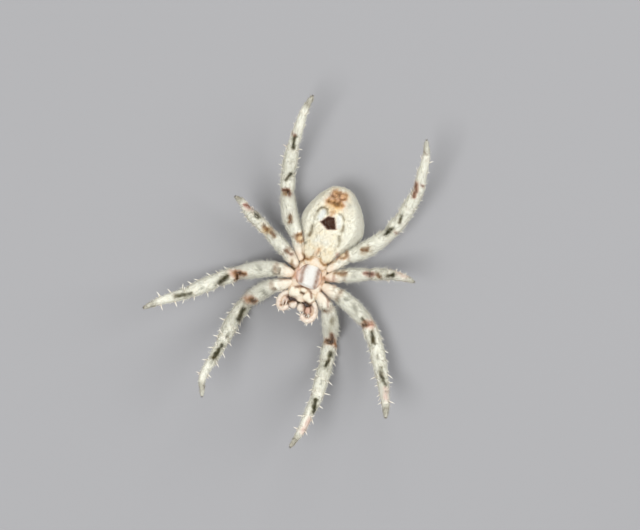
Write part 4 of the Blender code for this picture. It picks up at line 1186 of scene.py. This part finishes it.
def rooted(piece, corners, wanted, count, random):
    """Random roots on the piece, as many per area as wanted says for each vertex."""
    mesh = piece.data
    mesh.calc_loop_triangles()
    triangles, loops = (read(mesh.loop_triangles, field, 3, np.int32) for field in ("vertices", "loops"))
    points = points_of(piece)
    a, b, c = (points[triangles[:, i]] for i in range(3))
    area = np.linalg.norm(np.cross(b - a, c - a), axis=1) / 2
    weight = area * wanted[triangles].mean(axis=1)
    pick = random.choice(len(triangles), count, p=weight / weight.sum())
    share = random.random((count, 2))
    flip = share.sum(axis=1) > 1
    share[flip] = 1 - share[flip]
    share = np.concatenate((1 - share.sum(axis=1)[:, None], share), axis=1)

    def mixed(values, rows=triangles):
        return (values[rows[pick]] * share[:, :, None]).sum(axis=1)

    normal = mixed(normals_of(piece))
    normal /= lengths_of(normal, 1e-6)
    lie = mixed(noted(piece, "lie", 3))
    lie -= normal * (lie * normal).sum(axis=1)[:, None]
    lie /= lengths_of(lie, 1e-6)
    return {"place": mixed(points), "normal": normal, "lie": lie, "map": mixed(corners, loops),
            "pigment": mixed(noted(piece, "pigment", 4)),
            "white": mixed(noted(piece, "white")[:, None])[:, 0],
            "part": noted(piece, "part")[triangles[pick][:, 0]],
            "joint": noted(piece, "joint")[triangles[pick][:, 0]]}


def blades(name, roots, length, width, lift, curl, sides, levels, random):
    """Hairs as tapered blades: levels rings of sides vertices and a tip each, all in one mesh."""
    count = len(length)
    normal, lie = roots["normal"], roots["lie"]
    lie = lie + np.cross(normal, lie) * random.normal(0, SWAY, count)[:, None]
    lie /= np.linalg.norm(lie, axis=1)[:, None]
    across = np.cross(normal, lie)
    tilt = radians(lift) + random.normal(0, radians(lift) * LIFT_SPREAD, count)
    rise, run = np.sin(tilt)[:, None], np.cos(tilt)[:, None]
    rings, stations = [], []
    for level in range(levels + 1):
        u = level / levels
        height = rise * u - curl * u * u * rise
        centre = roots["place"] + (lie * run * u + normal * height) * length[:, None]
        centre = centre - normal * (ROOT_DEPTH * MM if level == 0 else 0)
        taper = width[:, None] * (1 - TAPER * u)
        for k in range(sides if level < levels else 1):
            angle = 2 * pi * k / sides
            around = across * cos(angle) + (normal * run - lie * rise) * sin(angle)
            rings.append(centre + around * taper / 2 if level < levels else centre)
            stations.append((u, angle))
    per = len(rings)
    points = np.stack(rings, axis=1).reshape(-1, 3)
    points[:, 2] = np.maximum(points[:, 2], LOWEST * MM)
    faces = [tuple(reversed(range(sides)))]
    for low in range(0, (levels - 1) * sides, sides):
        faces += [(low + k, low + (k + 1) % sides, low + sides + (k + 1) % sides, low + sides + k)
                  for k in range(sides)]
    last = (levels - 1) * sides
    faces += [(last + k, last + (k + 1) % sides, per - 1) for k in range(sides)]
    flat = np.concatenate(faces)
    corners = (flat[None, :] + per * np.arange(count)[:, None]).ravel()
    mesh = bpy.data.meshes.new(name)
    mesh.vertices.add(len(points))
    mesh.vertices.foreach_set("co", points.astype(np.float32).ravel())
    mesh.loops.add(len(corners))
    mesh.loops.foreach_set("vertex_index", corners.astype(np.int32))
    sizes = np.tile([len(face) for face in faces], count)
    mesh.polygons.add(len(sizes))
    mesh.polygons.foreach_set("loop_start", (np.cumsum(sizes) - sizes).astype(np.int32))
    mesh.update(calc_edges=True)
    mesh.validate()
    piece = bpy.data.objects.new(name, mesh)
    bpy.context.scene.collection.objects.link(piece)
    along = np.array([u for u, _ in stations])
    note(piece, pigment=np.repeat(roots["pigment"], per, axis=0), white=np.repeat(roots["white"], per),
         tip=np.tile(along, count), tone=np.repeat(random.random(count), per))
    patch = np.array([(cos(angle), sin(angle)) for _, angle in stations])
    patch *= MAP_PATCH * (1 - along)[:, None]
    spots = (roots["map"][:, None, :] + patch[None, :, :]).reshape(-1, 2)
    mesh.uv_layers.new(name="OFBake").data.foreach_set("uv", spots[corners].astype(np.float32).ravel())
    return piece


def hair_material(name, root_colour, tip_colour, roughness):
    """Pale hair: darker at the root, with a share of the pigment of the skin below it."""
    made, tree, shader = new_material(name)
    tip, tone = (add(tree, "Attribute", attribute_name=kind)["Fac"] for kind in ("tip", "tone"))
    pale = blended(tree, tip, (*root_colour, 1), (*tip_colour, 1))
    colour = add(tree, "Group", {"Ground": pale, "Pale": pale, "Grain per metre": BODY_GRAIN},
                 node_tree=CUTICLE_COLOUR)["Colour"]
    share = worked(tree, "MULTIPLY", tone, TONE_SHARE)
    fill(tree, shader, {"Base Color": blended(tree, share, colour, pale), "Roughness": roughness,
                        "Specular IOR Level": 0.25})
    return made


def grow(name, piece, corners, wanted, count, length, width, lift, curl):
    """A coat of hairs on a piece, shorter towards the feet."""
    roots = rooted(piece, corners, wanted, count, random)
    girth = np.interp(roots["joint"], (1, 2, 4, 5, 6), (1.0, 1.0, 0.85, 0.65, 0.55))
    girth = np.where(roots["part"] > LEG, girth, 1)
    sizes = length * girth * random.uniform(0.6, 1.25, count) * MM
    widths = width * random.uniform(0.75, 1.25, count) * MM
    finished(blades(name, roots, sizes, widths, lift, curl, 3, 2, random), HAIR_PALE, "hair_pale")


HAIR_PALE = hair_material("hair_pale", (0.75, 0.72, 0.59), (0.90, 0.89, 0.82), 0.45)
skin_corners = unwrapped(skin)
part, joint = np.rint(noted(skin, "part")), noted(skin, "joint")
heights = points_of(skin)[:, 2] / MM
clear = limited(heights / 0.15)
bare = 1 - 0.8 * inside(*plan_of(points_of(skin)), DARK_PATCH, 0.3) * (heights > 5)
thin = clear * (1 - 0.45 * limited(normals_of(skin)[:, 2]))
front = ((part >= CORE) & (part < SHELL)) * 1.0 + (part > LEG) * (joint <= 0.5) + (part == SPINNERET)
random = np.random.default_rng(5)
left_leg = (part > LEG) & (part < RIGHT_LEG)
# Where each coat grows, how many hairs, their length and width in mm, lift and curl.
for name, wanted, *form in (
    ("coat_left_legs", (left_leg & (joint > 0.5)) * thin, 16000, 0.48, 0.042, 30, 0.35),
    ("coat_right_legs", ((part > RIGHT_LEG) & (joint > 0.5)) * thin, 16000, 0.48, 0.042, 30, 0.35),
    ("coat_bristles", (part > LEG) * (joint > 0.9) * clear, 3600, 0.78, 0.048, 48, 0.3),
    ("coat_abdomen", (part == ABDOMEN) * clear * bare, 13000, 0.33, 0.036, 34, 0.4),
    ("coat_front", front * clear, 5000, 0.22, 0.030, 26, 0.3),
):
    grow(name, skin, skin_corners, wanted, *form)
carapace_corners = unwrapped(carapace)
head = np.clip(1.4 - noted(carapace, "joint") * 1.2, 0.25, 1) * (points_of(carapace)[:, 2] / MM < 4.3)
grow("coat_carapace", carapace, carapace_corners, head, 3500, 0.26, 0.030, 22, 0.4)

# ==================================================================== spines
# Stout pale bristles stand on the legs in rows, longest on the tibia and metatarsus, and a
# few on the palps. Each is a tapered six-sided rod set in a small socket.
SPINE_ROWS = {           # segment: length in mm, places along it, turns from the belly line
    1: (0.68, (0.35, 0.6, 0.85), (125, -125, 180)),
    2: (0.80, (0.40, 0.85), (84, -84, 180)),
    3: (0.92, (0.16, 0.50, 0.84), (40, -40, 88, -88, 145, -145)),
    4: (0.86, (0.18, 0.52, 0.86), (40, -40, 88, -88, 145, -145)),
}
SPINE_SHARES = {"1": 1.0, "2": 1.0, "3": 0.62, "4": 0.75}     # how long they are and how many grow
BELLY_SPINES = 0.55                                           # how many of the turns of 40 grow
PALP_ROWS = ((0.45, 0.6, 0.72, 0.84, 0.95), (60, -60, 150, -150))
PALP_LENGTHS = (0.52, 0.82)
SOCKET_DEPTH = 0.03
SPINE_PIGMENT = 0.35           # share of the pigment of the skin
SPINE_WHITE = 0.5
spine_rows = []
lookup = nearest_of(points_of(skin), range(len(skin.data.vertices)))
skin_pigment = noted(skin, "pigment", 4)
vertex_map = np.zeros((len(skin_pigment), 2))
vertex_map[read(skin.data.loops, "vertex_index", 1, np.int32)[:, 0]] = skin_corners
random = np.random.default_rng(23)


def plant(stops, at, swing, length):
    """One bristle at an arc length and a turn from the belly line."""
    centre = front_place(stops["place"])
    along, belly, side = frames_of(centre)
    row = min(max(int(np.searchsorted(stops["arc"], at)), 1), len(stops["arc"]) - 2)
    out = cos(swing) * belly[row] + sin(swing) * side[row]
    place = (centre[row] + out * (stops["radius"][row] - SOCKET_DEPTH)) * MM
    _, nearest, _ = lookup.find(place)
    spine_rows.append((place, out, along[row], skin_pigment[nearest] * SPINE_PIGMENT, SPINE_WHITE,
                       vertex_map[nearest], length))


for tag, stops in leg_lines.items():
    for segment, (size, places, swings) in SPINE_ROWS.items():
        start, end = np.interp((segment, segment + 1), stops["joint"], stops["arc"])
        for where in places:
            for swing in swings:
                at = start + (end - start) * (where + random.uniform(-0.05, 0.05))
                turned = radians(swing + random.uniform(-10, 10))
                length = size * SPINE_SHARES[tag[1]] * random.uniform(0.75, 1.15)
                if random.random() < (BELLY_SPINES if abs(swing) == 40 else SPINE_SHARES[tag[1]]):
                    plant(stops, at, turned, length)
for stops in palp_lines.values():
    for where in PALP_ROWS[0]:
        for swing in PALP_ROWS[1]:
            at = stops["arc"][-1] * (where + random.uniform(-0.04, 0.04))
            plant(stops, at, radians(swing + random.uniform(-15, 15)), random.uniform(*PALP_LENGTHS))
*columns, lengths = (np.array(column) for column in zip(*spine_rows))
roots = dict(zip(("place", "normal", "lie", "pigment", "white", "map"), columns))
lengths = lengths * MM
thickness = np.interp(lengths / MM, (0.35, 0.8), (0.11, 0.20)) * random.uniform(0.9, 1.1, len(lengths)) * MM
spines = blades("spines", roots, lengths, thickness, 60, 0.18, 6, 3, random)
SPINE_PALE = hair_material("spine_pale", (0.66, 0.55, 0.38), (0.93, 0.90, 0.82), 0.35)
finished(spines, SPINE_PALE, "hair_pale")

# ==================================================================== stage
# A plain pale floor, a wide soft light above the head end, a fill and a low light behind,
# and a long lens straight above, turned as the animal lies.
LIGHTS = {                     # place in metres, power in watts and size
    "key": ((-0.08, -0.10, 0.35), 0.80, 0.16),
    "fill": ((0.22, 0.14, 0.24), 0.46, 0.25),
    "back": ((-0.05, 0.30, 0.15), 0.24, 0.20),
}
LENS = 200
SENSOR = 36
FRAME_WIDTH = 0.0704
CAMERA_TURN = radians(19)
FLOOR_SIZE = 3
VIEW_CENTRE = (STERNUM_AT[0] + 0.56, STERNUM_AT[1] + 1.41, 5.0)
bpy.ops.object.select_all(action="DESELECT")
bpy.ops.mesh.primitive_plane_add(size=FLOOR_SIZE, location=(0, 0, 0))
floor = bpy.context.object
floor.name = "floor"
FLOOR_PALE, tree, shader = new_material("floor_pale")
fill(tree, shader, {"Base Color": (0.33, 0.33, 0.34, 1), "Roughness": 0.9})
floor.data.materials.append(FLOOR_PALE)

for name, (place, power, size) in LIGHTS.items():
    lamp = bpy.data.lights.new(name, "AREA")
    lamp.energy, lamp.size, lamp.shape = power, size, "DISK"
    light = bpy.data.objects.new(name, lamp)
    light.location = place
    light.rotation_euler = (-Vector(place)).to_track_quat("-Z", "Y").to_euler()
    light.visible_camera = False
    bpy.context.scene.collection.objects.link(light)
world = bpy.data.worlds.new("studio")
bpy.context.scene.world = world
world.use_nodes = True
fill(world.node_tree, world.node_tree.nodes["Background"], {"Color": (1, 1, 1, 1), "Strength": 0.56})

view = bpy.data.cameras.new("camera")
view.lens, view.sensor_width, view.clip_start, view.clip_end = LENS, SENSOR, 0.01, 20
camera = bpy.data.objects.new("camera", view)
bpy.context.scene.collection.objects.link(camera)
camera.location = Vector(VIEW_CENTRE) * MM + Vector((0, 0, FRAME_WIDTH * LENS / SENSOR))
camera.rotation_euler = (0, 0, CAMERA_TURN)
bpy.context.scene.camera = camera
bpy.context.scene.view_settings.view_transform = "Standard"
